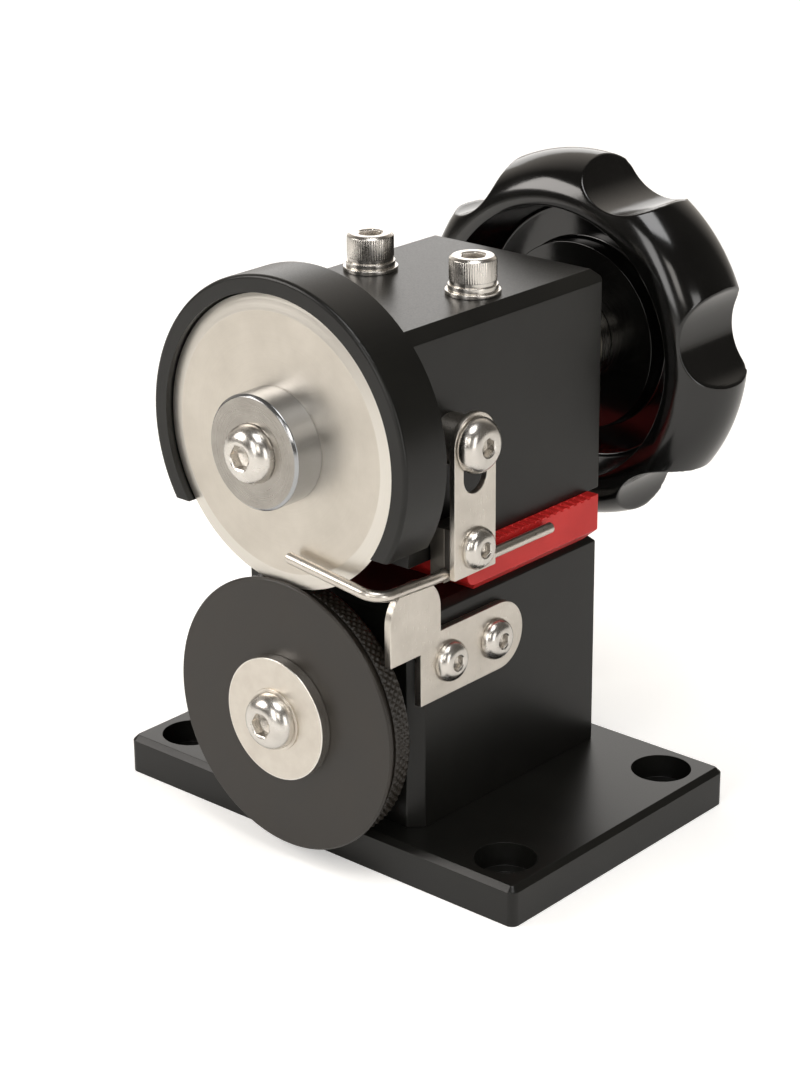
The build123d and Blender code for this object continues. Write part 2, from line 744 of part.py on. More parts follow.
with BuildPart() as lower_shaft:
    with BuildSketch(cross_plane(lower_shaft_back_y, lower_shaft_z)):
        Circle(shaft_radius)
    extrude(amount=lower_shaft_back_y - lower_shaft_front_y)
    with BuildSketch(cross_plane(lower_rear_bearing_y, lower_shaft_z)):
        Circle(shaft_middle_radius)
    extrude(amount=lower_rear_bearing_y - lower_front_bearing_y - bearing_width)
    with BuildSketch(cross_plane(lower_ring_y + ring_thickness, lower_shaft_z)):
        Circle(shaft_radius)
        Circle(ring_groove_radius, mode=Mode.SUBTRACT)
    extrude(amount=ring_thickness, mode=Mode.SUBTRACT)
    with Locations(cross_plane(lower_shaft_front_y, lower_shaft_z)):
        Hole(m6_thread + thread_clearance, depth=shaft_tap_depth)
lower_shaft.part.label = "lower_shaft"
export_step(lower_shaft.part, "parts/lower_shaft.step")

with BuildPart() as lower_retaining_ring:
    with Locations(back_plane(lower_ring_y, lower_shaft_z)):
        add(shaft_ring())
lower_retaining_ring.part.label = "lower_retaining_ring"
export_step(lower_retaining_ring.part, "parts/lower_retaining_ring.step")

with BuildPart() as roller_spacer:
    with BuildSketch(cross_plane(lower_front_bearing_y, lower_shaft_z)):
        Circle(blade_spacer_neck_radius)
        Circle(shaft_radius, mode=Mode.SUBTRACT)
    extrude(amount=lower_front_bearing_y - roller_back_y)
roller_spacer.part.label = "roller_spacer"
export_step(roller_spacer.part, "parts/roller_spacer.step")

# The blade's edge runs in the shallow groove between the roller and the disc in front of it.
with BuildPart() as feed_roller:
    with BuildSketch(lower_profile):
        with BuildLine():
            Polyline(
                (roller_back_y, shaft_radius),
                (roller_back_y, roller_radius - roller_back_chamfer),
                (roller_back_y - roller_back_chamfer, roller_radius),
                (roller_front_y, roller_radius),
                (roller_front_y, roller_recess_radius),
                (anvil_back_y, roller_recess_radius),
                (anvil_back_y, shaft_radius),
                close=True,
            )
        make_face()
    revolve(axis=lower_axis)
feed_roller.part.label = "feed_roller"
export_step(feed_roller.part, "parts/feed_roller.step")

with BuildPart() as anvil_disc:
    with BuildSketch(cross_plane(anvil_back_y, lower_shaft_z)):
        Circle(anvil_radius)
    extrude(amount=anvil_thickness)
    chamfer(anvil_disc.edges().group_by(Axis.Y)[0], anvil_chamfer)
    with BuildSketch(cross_plane(anvil_back_y, lower_shaft_z)):
        Circle(shaft_radius)
    extrude(amount=anvil_thickness, mode=Mode.SUBTRACT)
anvil_disc.part.label = "anvil_disc"
export_step(anvil_disc.part, "parts/anvil_disc.step")

thin_washer_y = anvil_front_y - roller_washer_thickness
roller_screw_y = thin_washer_y - thin_washer_thickness

with BuildPart() as roller_washer:
    with Locations(cross_plane(anvil_front_y, lower_shaft_z)):
        add(plain_washer(roller_washer_radius, m6_thread + hole_clearance, roller_washer_thickness))
roller_washer.part.label = "roller_washer"
export_step(roller_washer.part, "parts/roller_washer.step")

with BuildPart() as roller_thin_washer:
    with Locations(cross_plane(thin_washer_y, lower_shaft_z)):
        add(plain_washer(thin_washer_radius, m6_thread + hole_clearance, thin_washer_thickness))
roller_thin_washer.part.label = "roller_thin_washer"
export_step(roller_thin_washer.part, "parts/roller_thin_washer.step")

with BuildPart() as roller_screw:
    with Locations(cross_plane(roller_screw_y, lower_shaft_z)):
        add(button_screw(m6_thread, m6_button_head, m6_button_height, m6_button_key, end_screw_length))
roller_screw.part.label = "roller_screw"
export_step(roller_screw.part, "parts/roller_screw.step")

# ---- blade guard ----

with BuildPart() as guard:
    with BuildSketch(upper_profile):
        with BuildLine():
            Polyline(
                (guard_front_y + guard_lip_radius, guard_radius),
                (upper_block_front_y - guard_back_chamfer, guard_radius),
                (upper_block_front_y, guard_radius - guard_back_chamfer),
                (upper_block_front_y, guard_spindle_hole_radius),
                (guard_plate_front_y, guard_spindle_hole_radius),
                (guard_plate_front_y, guard_bore_radius),
                (guard_front_y, guard_bore_radius),
                (guard_front_y, guard_radius - guard_lip_radius),
            )
            RadiusArc(
                (guard_front_y, guard_radius - guard_lip_radius),
                (guard_front_y + guard_lip_radius, guard_radius),
                guard_lip_radius,
            )
        make_face()
    revolve(axis=upper_axis)
    split(bisect_by=Plane.XY.offset(guard_cut_z), keep=Keep.TOP)
    with Locations(cross_plane(guard_plate_front_y, upper_shaft_z)):
        with GridLocations(2 * guard_screw_x, 2 * guard_screw_z, 2, 2):
            CounterSinkHole(m4_thread + hole_clearance, m4_flat_head + hole_clearance)
guard.part.label = "guard"
export_step(guard.part, "parts/guard.step")

with BuildPart() as guard_screws:
    with Locations(cross_plane(guard_plate_front_y, upper_shaft_z)):
        with GridLocations(2 * guard_screw_x, 2 * guard_screw_z, 2, 2):
            add(flat_screw(m4_thread, m4_flat_head, m4_button_key, guard_screw_length))
guard_screws.part.label = "guard_screws"
export_step(guard_screws.part, "parts/guard_screws.step")

# ---- guide bracket, jaws and wire ----

with BuildPart() as guide_bracket:
    with BuildSketch(Plane.YZ.offset(bracket_inner_x)):
        bracket_round_z = bracket_top_z - bracket_width / 2
        with Locations((bracket_y, bracket_round_z)):
            Circle(bracket_width / 2)
        with Locations((bracket_y, bracket_bottom_z)):
            Rectangle(bracket_width, bracket_round_z - bracket_bottom_z, align=(Align.CENTER, Align.MIN))
        with Locations((bracket_y, (slot_bottom_z + slot_top_z) / 2)):
            SlotOverall(slot_top_z - slot_bottom_z, slot_width, rotation=90, mode=Mode.SUBTRACT)
        with Locations((jaw_screw_y, jaw_screw_z)):
            Circle(m4_thread + hole_clearance, mode=Mode.SUBTRACT)
    extrude(amount=bracket_thickness)
guide_bracket.part.label = "guide_bracket"
export_step(guide_bracket.part, "parts/guide_bracket.step")

with BuildPart() as bracket_sleeve:
    with BuildSketch(side_plane(upper_block_width / 2, bracket_y, bracket_screw_z)):
        Circle(sleeve_radius)
        Circle(m5_thread + hole_clearance, mode=Mode.SUBTRACT)
    extrude(amount=bracket_inner_x - bracket_play - upper_block_width / 2)
bracket_sleeve.part.label = "bracket_sleeve"
export_step(bracket_sleeve.part, "parts/bracket_sleeve.step")

with BuildPart() as bracket_screw:
    with Locations(side_plane(bracket_outer_x + bracket_play, bracket_y, bracket_screw_z)):
        add(button_screw(m5_thread, m5_button_head, m5_button_height, m5_button_key, bracket_screw_length))
bracket_screw.part.label = "bracket_screw"
export_step(bracket_screw.part, "parts/bracket_screw.step")

bracket_front_y = bracket_y - bracket_width / 2
bracket_back_y = bracket_y + bracket_width / 2

# The inner jaw lies beside the upper block. Its front half reaches down past the red plate's end
# and holds half of the wire's groove; its back half stops above the plate.
with BuildPart() as inner_jaw:
    with BuildSketch(Plane.YZ.offset(jaw_inner_x)):
        with BuildLine():
            Polyline(
                (bracket_front_y, jaw_lip_z),
                (jaw_lip_back_y, jaw_lip_z),
                (jaw_lip_back_y, jaw_plate_clear_z),
                (bracket_back_y, jaw_plate_clear_z),
                (bracket_back_y, jaw_top_z),
                (bracket_front_y, jaw_top_z),
                close=True,
            )
        make_face()
    extrude(amount=jaw_split_x - jaw_inner_x)
    with BuildSketch(Plane.XZ.offset(-bracket_back_y)):
        with Locations((jaw_split_x, wire_z)):
            Circle(wire_radius + wire_clearance)
    extrude(amount=bracket_width, mode=Mode.SUBTRACT)
    with Locations(side_plane(jaw_split_x, jaw_screw_y, jaw_screw_z)):
        Hole(m4_thread + thread_clearance)
inner_jaw.part.label = "inner_jaw"
export_step(inner_jaw.part, "parts/inner_jaw.step")

outer_jaw_bottom_z = wire_z + wire_radius + wire_clearance

with BuildPart() as outer_jaw:
    with BuildSketch(Plane.YZ.offset(jaw_split_x)):
        with Locations((bracket_y, outer_jaw_bottom_z)):
            Rectangle(bracket_width, jaw_top_z - outer_jaw_bottom_z, align=(Align.CENTER, Align.MIN))
        with Locations((jaw_screw_y, jaw_screw_z)):
            Circle(m4_thread + hole_clearance, mode=Mode.SUBTRACT)
    extrude(amount=bracket_inner_x - jaw_split_x)
outer_jaw.part.label = "outer_jaw"
export_step(outer_jaw.part, "parts/outer_jaw.step")

with BuildPart() as jaw_screw:
    with Locations(side_plane(bracket_outer_x, jaw_screw_y, jaw_screw_z)):
        add(button_screw(m4_thread, m4_button_head, m4_button_height, m4_button_key, jaw_screw_length))
jaw_screw.part.label = "jaw_screw"
export_step(jaw_screw.part, "parts/jaw_screw.step")

with BuildPart() as guide_wire:
    with BuildLine() as wire_path:
        FilletPolyline(
            (jaw_split_x, wire_back_y, wire_z),
            (jaw_split_x, wire_kink_y, wire_z),
            (jaw_split_x, wire_front_y, wire_corner_z),
            (wire_tip_x, wire_front_y, wire_tip_z),
            radius=(wire_kink_bend, wire_corner_bend),
        )
    with BuildSketch(Plane.XZ.offset(-wire_back_y)):
        with Locations((jaw_split_x, wire_z)):
            Circle(wire_radius)
    sweep(path=wire_path.line)
guide_wire.part.label = "guide_wire"
export_step(guide_wire.part, "parts/guide_wire.step")

# ---- side plate on the lower block ----

with BuildPart() as side_guide_plate:
    side_leg_top_z = side_leg_z + side_leg_radius
    side_leg_bottom_z = side_leg_z - side_leg_radius
    side_ear_front_y = side_ear_y - side_ear_radius
    side_ear_back_y = side_ear_y + side_ear_radius
    with BuildSketch(Plane.YZ.offset(lower_block_width / 2)):
        with BuildLine():
            Polyline(
                (side_ear_back_y, side_ear_z),
                (side_ear_back_y, side_leg_top_z),
                (side_leg_back_y, side_leg_top_z),
            )
            ThreePointArc(
                (side_leg_back_y, side_leg_top_z),
                (side_leg_back_y + side_leg_radius, side_leg_z),
                (side_leg_back_y, side_leg_bottom_z),
            )
            Polyline(
                (side_leg_back_y, side_leg_bottom_z),
                (side_cutback_y, side_leg_bottom_z),
                (side_cutback_y, side_cutback_z),
                (side_ear_front_y, side_cutback_z),
                (side_ear_front_y, side_ear_z),
            )
            ThreePointArc(
                (side_ear_front_y, side_ear_z),
                (side_ear_y, side_ear_z + side_ear_radius),
                (side_ear_back_y, side_ear_z),
            )
        make_face()
        with Locations((side_screw_front_y, side_leg_z), (side_screw_back_y, side_leg_z)):
            Circle(m4_thread + hole_clearance, mode=Mode.SUBTRACT)
    extrude(amount=side_plate_thickness)
side_guide_plate.part.label = "side_guide_plate"
export_step(side_guide_plate.part, "parts/side_guide_plate.step")

side_screw_x = lower_block_width / 2 + side_plate_thickness

with BuildPart() as side_plate_screws:
    with Locations(
        side_plane(side_screw_x, side_screw_front_y, side_leg_z),
        side_plane(side_screw_x, side_screw_back_y, side_leg_z),
    ):
        add(button_screw(m4_thread, m4_button_head, m4_button_height, m4_button_key, side_screw_length))
side_plate_screws.part.label = "side_plate_screws"
export_step(side_plate_screws.part, "parts/side_plate_screws.step")
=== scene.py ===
import json
import math

import bmesh
import bpy
from mathutils import Matrix, Vector

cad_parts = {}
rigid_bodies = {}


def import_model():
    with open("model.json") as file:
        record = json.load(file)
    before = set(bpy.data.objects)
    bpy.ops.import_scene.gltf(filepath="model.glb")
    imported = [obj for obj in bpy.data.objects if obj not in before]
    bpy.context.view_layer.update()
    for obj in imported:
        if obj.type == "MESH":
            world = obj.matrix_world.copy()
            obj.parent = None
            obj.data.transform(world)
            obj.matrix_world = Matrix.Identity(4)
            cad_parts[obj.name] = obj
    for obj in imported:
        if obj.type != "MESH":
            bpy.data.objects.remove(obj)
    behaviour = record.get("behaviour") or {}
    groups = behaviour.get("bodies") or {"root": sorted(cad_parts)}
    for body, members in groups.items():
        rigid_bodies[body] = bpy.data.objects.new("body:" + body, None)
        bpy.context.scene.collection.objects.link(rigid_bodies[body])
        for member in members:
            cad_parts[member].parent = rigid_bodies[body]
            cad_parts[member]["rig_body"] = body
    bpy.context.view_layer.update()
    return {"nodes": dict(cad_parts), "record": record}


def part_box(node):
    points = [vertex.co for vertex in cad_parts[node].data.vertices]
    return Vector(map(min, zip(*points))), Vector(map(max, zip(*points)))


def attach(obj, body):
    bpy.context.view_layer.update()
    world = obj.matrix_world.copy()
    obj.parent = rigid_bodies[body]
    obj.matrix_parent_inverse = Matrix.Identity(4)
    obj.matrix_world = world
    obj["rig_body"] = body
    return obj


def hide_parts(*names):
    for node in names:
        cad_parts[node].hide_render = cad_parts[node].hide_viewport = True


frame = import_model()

mm = 0.001
scene = bpy.context.scene
print("frame loaded:", len(frame["nodes"]), "nodes")


# small helpers

def linear(hexText):
    # sRGB hex to the linear colour that Blender's sockets take
    values = [int(hexText[i:i + 2], 16) / 255 for i in (1, 3, 5)]
    return [v / 12.92 if v <= 0.04045 else ((v + 0.055) / 1.055) ** 2.4 for v in values] + [1.0]


def add(tree, kind, links=None, **settings):
    # a node with its settings; links gives each socket a value, another node or another socket
    node = tree.nodes.new(kind)
    for name, value in settings.items():
        setattr(node, name, value)
    for key, value in (links or {}).items():
        if isinstance(key, str):
            target = [s for s in node.inputs if s.enabled and s.name == key][0]
        else:
            target = node.inputs[key]
        if isinstance(value, bpy.types.Node):
            value = [s for s in value.outputs if s.enabled][0]
        if isinstance(value, bpy.types.NodeSocket):
            tree.links.new(value, target)
        else:
            target.default_value = value
    return node


def perMetre(sizeMm):
    # texture scale that makes one feature this many millimetres wide
    return 1 / (sizeMm * mm)


# materials: each look holds colours, roughness, and pattern sizes and (depth, strength) of bumps in mm

noiseReach = {"low": 0.3, "high": 0.7}  # the part of 0 to 1 that a noise pattern really fills


def newMaterial(name, baseHex, roughness, metallic=0.0, ior=None):
    material = bpy.data.materials.new(name)
    material.use_nodes = True
    tree = material.node_tree
    shader = tree.nodes["Principled BSDF"]
    shader.inputs["Base Color"].default_value = linear(baseHex)
    shader.inputs["Roughness"].default_value = roughness
    shader.inputs["Metallic"].default_value = metallic
    if ior:
        shader.inputs["IOR"].default_value = ior
    material.diffuse_color = linear(baseHex)
    return material, tree, shader


def grain(tree, sizeMm, stretch=(1, 1, 1), detail=3.0):
    # noise on object coordinates, drawn out along an axis where its stretch is over 1
    place = add(tree, "ShaderNodeTexCoord")
    mapping = add(tree, "ShaderNodeMapping", {
        "Vector": place.outputs["Object"], "Scale": [1 / s for s in stretch],
    })
    return add(tree, "ShaderNodeTexNoise", {
        "Vector": mapping, "Scale": perMetre(sizeMm), "Detail": detail, "Roughness": 0.55,
    })


def shaftDistance(tree, centre):
    # how far a point is from a shaft's centre line, which runs along Y
    place = add(tree, "ShaderNodeTexCoord")
    mapping = add(tree, "ShaderNodeMapping", {
        "Vector": place.outputs["Object"], "Location": (-centre[0], 0, -centre[2]), "Scale": (1, 0, 1),
    })
    return add(tree, "ShaderNodeVectorMath", {"Vector": mapping}, operation="LENGTH").outputs["Value"]


def rings(tree, sizeMm, distance):
    # noise that changes only with the distance from the shaft, as turning and face grinding leave it
    return add(tree, "ShaderNodeTexNoise", {
        "W": distance, "Scale": perMetre(sizeMm), "Detail": 2.0,
    }, noise_dimensions="1D")


def shade(tree, shader, socket, source, low, high):
    # drives one socket of the shader between two values, or two hex colours, by a pattern
    factor = add(tree, "ShaderNodeMapRange", {
        "Value": source, "From Min": noiseReach["low"], "From Max": noiseReach["high"],
    })
    if isinstance(low, str):
        mixed = add(tree, "ShaderNodeMix", {
            "Factor": factor, "A": linear(low), "B": linear(high),
        }, data_type="RGBA")
        tree.links.new([s for s in mixed.outputs if s.enabled][0], shader.inputs[socket])
        return mixed
    factor.inputs["To Min"].default_value = low
    factor.inputs["To Max"].default_value = high
    tree.links.new(factor.outputs["Result"], shader.inputs[socket])
    return factor


def toneAndSatin(tree, shader, look, tone, satin):
    # one pattern drives the colour and one the roughness, each between its look's two values
    face = shade(tree, shader, "Base Color", tone, look["dark"], look["light"])
    gloss = shade(tree, shader, "Roughness", satin, look["roughLow"], look["roughHigh"])
    return face, gloss


def bumps(tree, shader, layers):
    # each layer is a pattern, its depth in millimetres and its strength; later ones stand on earlier ones
    normal = None
    for source, depthMm, strength in layers:
        node = add(tree, "ShaderNodeBump", {
            "Height": source, "Distance": depthMm * mm, "Strength": strength,
        })
        if normal:
            tree.links.new(normal.outputs["Normal"], node.inputs["Normal"])
        normal = node
    tree.links.new(normal.outputs["Normal"], shader.inputs["Normal"])


blackLook = {
    "dark": "#0e0e0d", "light": "#151513", "roughLow": 0.28, "roughHigh": 0.37, "ior": 1.43,
    "metallic": 0.0, "cloud": 14, "grit": 0.3, "gritBump": (0.012, 0.35),
}
# the red is dye in the oxide over bright metal, so it keeps a slight metal glow
redLook = {
    "dark": "#bd2120", "light": "#d02d2b", "roughLow": 0.34, "roughHigh": 0.42, "metallic": 0.25,
    "cloud": 10, "grit": 0.3, "gritBump": (0.012, 0.3),
}
# the bevel colour is lighter than the face: partly freshly ground steel, partly a painted highlight
bladeLook = {
    "dark": "#c8c2b8", "light": "#d4cec4", "bevel": "#e0dcd4", "roughLow": 0.34, "roughHigh": 0.44,
    "bevelRadius": 23.3, "ring": 0.35, "ringBump": (0.004, 0.25), "cloud": 7,
    "scratch": 0.35, "scratchStretch": (14, 1, 3), "scratchBump": (0.003, 0.2),
}
# the hub's and the washer's edge colours are lighter than their faces: partly a cleaner turned outside,
# partly painted highlight; the hub's cool tint is a painted reflection
hubLook = {
    "dark": "#9c9892", "light": "#aca8a2", "edge": "#b0b2b5", "roughLow": 0.24, "roughHigh": 0.34,
    "edgeRough": 0.18, "faceRadius": 9.8,
}
washerLook = {
    "dark": "#d3ccc2", "light": "#dfd9cf", "edge": "#eae6df", "roughLow": 0.3, "roughHigh": 0.4,
    "edgeRough": 0.25, "faceRadius": 11.2,
}
turning = {
    "ring": 0.3, "ringBump": (0.005, 0.3), "cloud": 4, "scratch": 0.3, "scratchStretch": (4, 1, 12),
    "scratchBump": (0.004, 0.25),
}
oxideLook = {
    "dark": "#1c1813", "light": "#25201a", "roughLow": 0.36, "roughHigh": 0.46, "ior": 1.54,
    "cloud": 9, "grit": 0.35, "gritBump": (0.008, 0.25),
}
sheetLook = {
    "dark": "#d3cdc4", "light": "#e2dcd3", "roughLow": 0.26, "roughHigh": 0.38,
    "cloud": 6, "line": 0.25, "length": 9, "lineBump": (0.004, 0.3),
}
# the inner jaw's stainless is drawn darker than the rest: partly a duller finish, partly painted shade
# where it sits deep in the jaws
dullAndShadedLook = {
    "dark": "#6b6761", "light": "#79756f", "roughLow": 0.3, "roughHigh": 0.4,
    "cloud": 6, "line": 0.25, "length": 9, "lineBump": (0.004, 0.3),
}
screwLook = {
    "dark": "#d4d0ca", "light": "#e4e0da", "roughLow": 0.23, "roughHigh": 0.29,
    "cloud": 2.5, "cloudBump": (0.012, 0.15),
}
shaftLook = {
    "dark": "#9a9891", "light": "#b4b1aa", "roughLow": 0.22, "roughHigh": 0.32,
    "ring": 0.3, "ringStretch": (40, 1, 40), "ringBump": (0.003, 0.2),
}
bearingLook = {"dark": "#adaca8", "light": "#c2c1bd", "roughLow": 0.1, "roughHigh": 0.18, "cloud": 2}
phenolicLook = {
    "dark": "#050505", "light": "#0a0a09", "roughLow": 0.11, "roughHigh": 0.17, "ior": 1.6,
    "ripple": 9, "rippleBump": (0.12, 0.25), "dust": 0.7, "dustBump": (0.004, 0.15),
}


def dressed(name, look, metallic=0.0):
    return newMaterial(name, look["light"], look["roughHigh"], metallic, look.get("ior"))


def anodised(name, look):
    # bead blasted and anodised aluminium: dense colour with a satin sheen and a very fine grit
    material, tree, shader = dressed(name, look, look["metallic"])
    fine = grain(tree, look["grit"])  # real blasting grit is about 0.1 mm, drawn coarser so that it shows
    toneAndSatin(tree, shader, look, grain(tree, look["cloud"]), fine)
    bumps(tree, shader, [(fine, *look["gritBump"])])
    return material


def outward(tree, shader, socket, face, distance, startMm, value):
    # beyond this distance from the shaft the face's colour or roughness gives way to another
    blend = 0.1
    beyond = add(tree, "ShaderNodeMapRange", {
        "Value": distance, "From Min": (startMm - blend) * mm, "From Max": (startMm + blend) * mm,
    })
    colour = isinstance(value, str)
    mixed = add(tree, "ShaderNodeMix", {
        "Factor": beyond, "A": face, "B": linear(value) if colour else value,
    }, data_type="RGBA" if colour else "FLOAT")
    tree.links.new([s for s in mixed.outputs if s.enabled][0], shader.inputs[socket])


def bladeSteel(centre):
    # hardened tool steel, face ground: pale warm grey with faint rings and a few cloudy marks; the bevel
    # ring is drawn lighter, partly fresher grinding and partly a painted highlight
    look = bladeLook
    material, tree, shader = dressed("face_ground_tool_steel", look, 1.0)
    distance = shaftDistance(tree, centre)
    ring = rings(tree, look["ring"], distance)
    cloud = grain(tree, look["cloud"], detail=5.0)
    scratch = grain(tree, look["scratch"], look["scratchStretch"])
    face = toneAndSatin(tree, shader, look, cloud, ring)[0]
    # the lighter bevel ring is partly a painted highlight
    outward(tree, shader, "Base Color", face, distance, look["bevelRadius"], look["bevel"])
    bumps(tree, shader, [(ring, *look["ringBump"]), (scratch, *look["scratchBump"])])
    return material


def turnedSteel(name, look, centre):
    # steel faced in a lathe and handled since: fine rings and small scratches; past the face the colour is
    # lighter, partly a cleaner turned outside and partly painted highlight, and on the hub a painted cool
    # reflection
    material, tree, shader = dressed(name, look, 1.0)
    distance = shaftDistance(tree, centre)
    ring = rings(tree, turning["ring"], distance)
    cloud = grain(tree, turning["cloud"], detail=6.0)
    scratch = grain(tree, turning["scratch"], turning["scratchStretch"])
    face, gloss = toneAndSatin(tree, shader, look, cloud, ring)
    # past the face radius the lighter colour is partly a cleaner outside and partly painted highlight
    outward(tree, shader, "Base Color", face, distance, look["faceRadius"], look["edge"])
    outward(tree, shader, "Roughness", gloss, distance, look["faceRadius"], look["edgeRough"])
    bumps(tree, shader, [(ring, *turning["ringBump"]), (scratch, *turning["scratchBump"])])
    return material


def blackOxideSteel():
    # steel with a black oxide finish: soft dark grey, faintly warm, with an oily satin face
    look = oxideLook
    material, tree, shader = dressed("black_oxide_steel", look)
    cloud = grain(tree, look["cloud"], detail=5.0)
    toneAndSatin(tree, shader, look, cloud, cloud)
    bumps(tree, shader, [(grain(tree, look["grit"]), *look["gritBump"])])
    return material


def brushedStainless(name, stretch, look):
    # stainless with a brushed or drawn face: straight fine lines along the length, satin between them
    material, tree, shader = dressed(name, look, 1.0)
    line = grain(tree, look["line"], stretch)
    toneAndSatin(tree, shader, look, grain(tree, look["cloud"]), line)
    bumps(tree, shader, [(line, *look["lineBump"])])
    return material


def brightStainless():
    # cold-headed stainless screws, tumbled bright: clear soft reflections with a faint unevenness
    look = screwLook
    material, tree, shader = dressed("bright_stainless", look, 1.0)
    cloud = grain(tree, look["cloud"], detail=4.0)
    toneAndSatin(tree, shader, look, cloud, cloud)
    bumps(tree, shader, [(cloud, *look["cloudBump"])])
    return material


def groundShaftSteel():
    # ground steel bar: neutral grey with fine rings round it
    look = shaftLook
    material, tree, shader = dressed("ground_shaft_steel", look, 1.0)
    ring = grain(tree, look["ring"], look["ringStretch"])
    toneAndSatin(tree, shader, look, ring, ring)
    bumps(tree, shader, [(ring, *look["ringBump"])])
    return material


def bearingSteel():
    # polished bearing steel: clean, bright and nearly even
    look = bearingLook
    material, tree, shader = dressed("polished_bearing_steel", look, 1.0)
    cloud = grain(tree, look["cloud"])
    toneAndSatin(tree, shader, look, cloud, cloud)
    return material


def glossPhenolic():
    # moulded phenolic: deep glossy black, with the slow ripple of a pressed surface
    look = phenolicLook
    material, tree, shader = dressed("moulded_phenolic", look)
    ripple = grain(tree, look["ripple"])
    dust = grain(tree, look["dust"], detail=1.0)
    toneAndSatin(tree, shader, look, ripple, ripple)
    bumps(tree, shader, [(ripple, *look["rippleBump"]), (dust, *look["dustBump"])])
    return material


def middle(node):
    low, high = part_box(node)
    return (low + high) / 2


bladeCentre = middle("blade")
rollerCentre = middle("anvil_disc")
finishes = {
    "black_anodised": anodised("black_anodised_aluminium", blackLook),
    "red_anodised": anodised("red_anodised_aluminium", redLook),
    "blade_steel": bladeSteel(bladeCentre),
    "turned_steel": turnedSteel("faced_steel", hubLook, bladeCentre),
    "blackened_steel": blackOxideSteel(),
    "stainless_steel": brushedStainless("brushed_stainless", (1, 1, sheetLook["length"]), sheetLook),
    "shaft_steel": groundShaftSteel(),
    "bearing_steel": bearingSteel(),
    "bright_screw": brightStainless(),
    "phenolic": glossPhenolic(),
}
washerSteel = turnedSteel("faced_washer_steel", washerLook, rollerCentre)
wireSteel = brushedStainless("drawn_stainless_wire", (1, 6, 1), sheetLook)
# the inner jaw's darker stainless carries painted shade as well as its duller finish
jawSteel = brushedStainless("dull_and_shaded_stainless", (1, 1, dullAndShadedLook["length"]), dullAndShadedLook)
print("materials made:", len(bpy.data.materials))

# every carried-over part starts with its own finish
slotOf = {}
for subpart in frame["record"]["subparts"]:
    slotOf[subpart["node"]] = subpart["material_slot"]
for name, node in frame["nodes"].items():
    node.data.materials.clear()
    node.data.materials.append(finishes[slotOf[name]])


# finishing a mesh

cleaning = {"mergeMm": 0.002, "thinMm": 0.001, "seamMm": 0.001, "flatDegrees": 0.2}


def evaluated(piece):
    # the piece's mesh with its modifiers worked in
    graph = bpy.context.evaluated_depsgraph_get()
    mesh = bpy.data.meshes.new_from_object(piece.evaluated_get(graph), depsgraph=graph)
    piece.modifiers.clear()
    piece.data = mesh
    mesh.name = piece.name
    return piece


def tidied(piece, sharpDegrees):
    # closes seams and open ends, turns the faces outwards and weights the normals by face size
    form = bmesh.new()
    form.from_mesh(piece.data)
    bmesh.ops.remove_doubles(form, verts=form.verts, dist=cleaning["mergeMm"] * mm)
    bmesh.ops.dissolve_degenerate(form, edges=form.edges, dist=cleaning["thinMm"] * mm)
    openEdges = [e for e in form.edges if e.is_boundary]
    if openEdges:
        bmesh.ops.holes_fill(form, edges=openEdges)
    bmesh.ops.recalc_face_normals(form, faces=form.faces)
    form.to_mesh(piece.data)
    form.free()
    piece.data.shade_smooth()
    piece.data.set_sharp_from_angle(angle=math.radians(sharpDegrees))
    weighted = piece.modifiers.new("even", "WEIGHTED_NORMAL")
    weighted.keep_sharp = True
    return evaluated(piece)


def newObject(name, mesh):
    piece = bpy.data.objects.new(name, mesh)
    scene.collection.objects.link(piece)
    return piece


def stands(piece, node, material=None):
    # the piece takes a CAD node's place: its body and its finish, and the node is hidden
    piece.data.materials.clear()
    piece.data.materials.append(material or finishes[slotOf[node]])
    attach(piece, frame["nodes"][node]["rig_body"])
    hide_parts(node)
    return piece


# milled pieces: a merged copy of the CAD solid with its edges broken

edgeBreak = {"segments": 2, "fromDegrees": 28, "sharpDegrees": 40}


def milled(name, node, edgeMm, material=None):
    piece = newObject(name, frame["nodes"][node].data.copy())
    form = bmesh.new()
    form.from_mesh(piece.data)
    bmesh.ops.remove_doubles(form, verts=form.verts, dist=cleaning["seamMm"] * mm)
    flat = math.radians(cleaning["flatDegrees"])
    bmesh.ops.dissolve_limit(form, angle_limit=flat, verts=form.verts, edges=form.edges)
    form.to_mesh(piece.data)
    form.free()
    bevel = piece.modifiers.new("brokenEdges", "BEVEL")
    bevel.width = edgeMm * mm
    bevel.segments = edgeBreak["segments"]
    bevel.limit_method = "ANGLE"
    bevel.angle_limit = math.radians(edgeBreak["fromDegrees"])
    bevel.use_clamp_overlap = True
    evaluated(piece)
    tidied(piece, edgeBreak["sharpDegrees"])
    return stands(piece, node, material)


# each CAD node with the width of its broken edges in mm, and its own finish where it has one
milledPieces = {
    "basePlate": ("base_plate", 0.2),
    "lowerBlock": ("lower_block", 0.2),
    "upperBlock": ("upper_block", 0.2),
    "spacerPlate": ("spacer_plate", 0.12),
    "bladeGuard": ("guard", 0.18),
    "guideBracket": ("guide_bracket", 0.12),
    # the inner jaw's finish is drawn darker, partly painted shade
    "innerJaw": ("inner_jaw", 0.12, jawSteel),
    "outerJaw": ("outer_jaw", 0.1),
    "sideGuidePlate": ("side_guide_plate", 0.14),
    "wheelKey": ("wheel_key", 0.1),
    "upperRetainingRing": ("upper_retaining_ring", 0.06),
    "lowerRetainingRing": ("lower_retaining_ring", 0.06),
}
for name, (node, edgeMm, *own) in milledPieces.items():
    milled(name, node, edgeMm, *own)
print("milled pieces made:", len(milledPieces))


# turned pieces: a section spun round an axis by Geometry Nodes

facings = {
    "front": {"axis": 1, "sign": -1, "turn": (90, 0, 0)},
    "back": {"axis": 1, "sign": 1, "turn": (-90, 0, 0)},
    "right": {"axis": 0, "sign": 1, "turn": (0, 90, 0)},
    "up": {"axis": 2, "sign": 1, "turn": (0, 0, 0)},
}


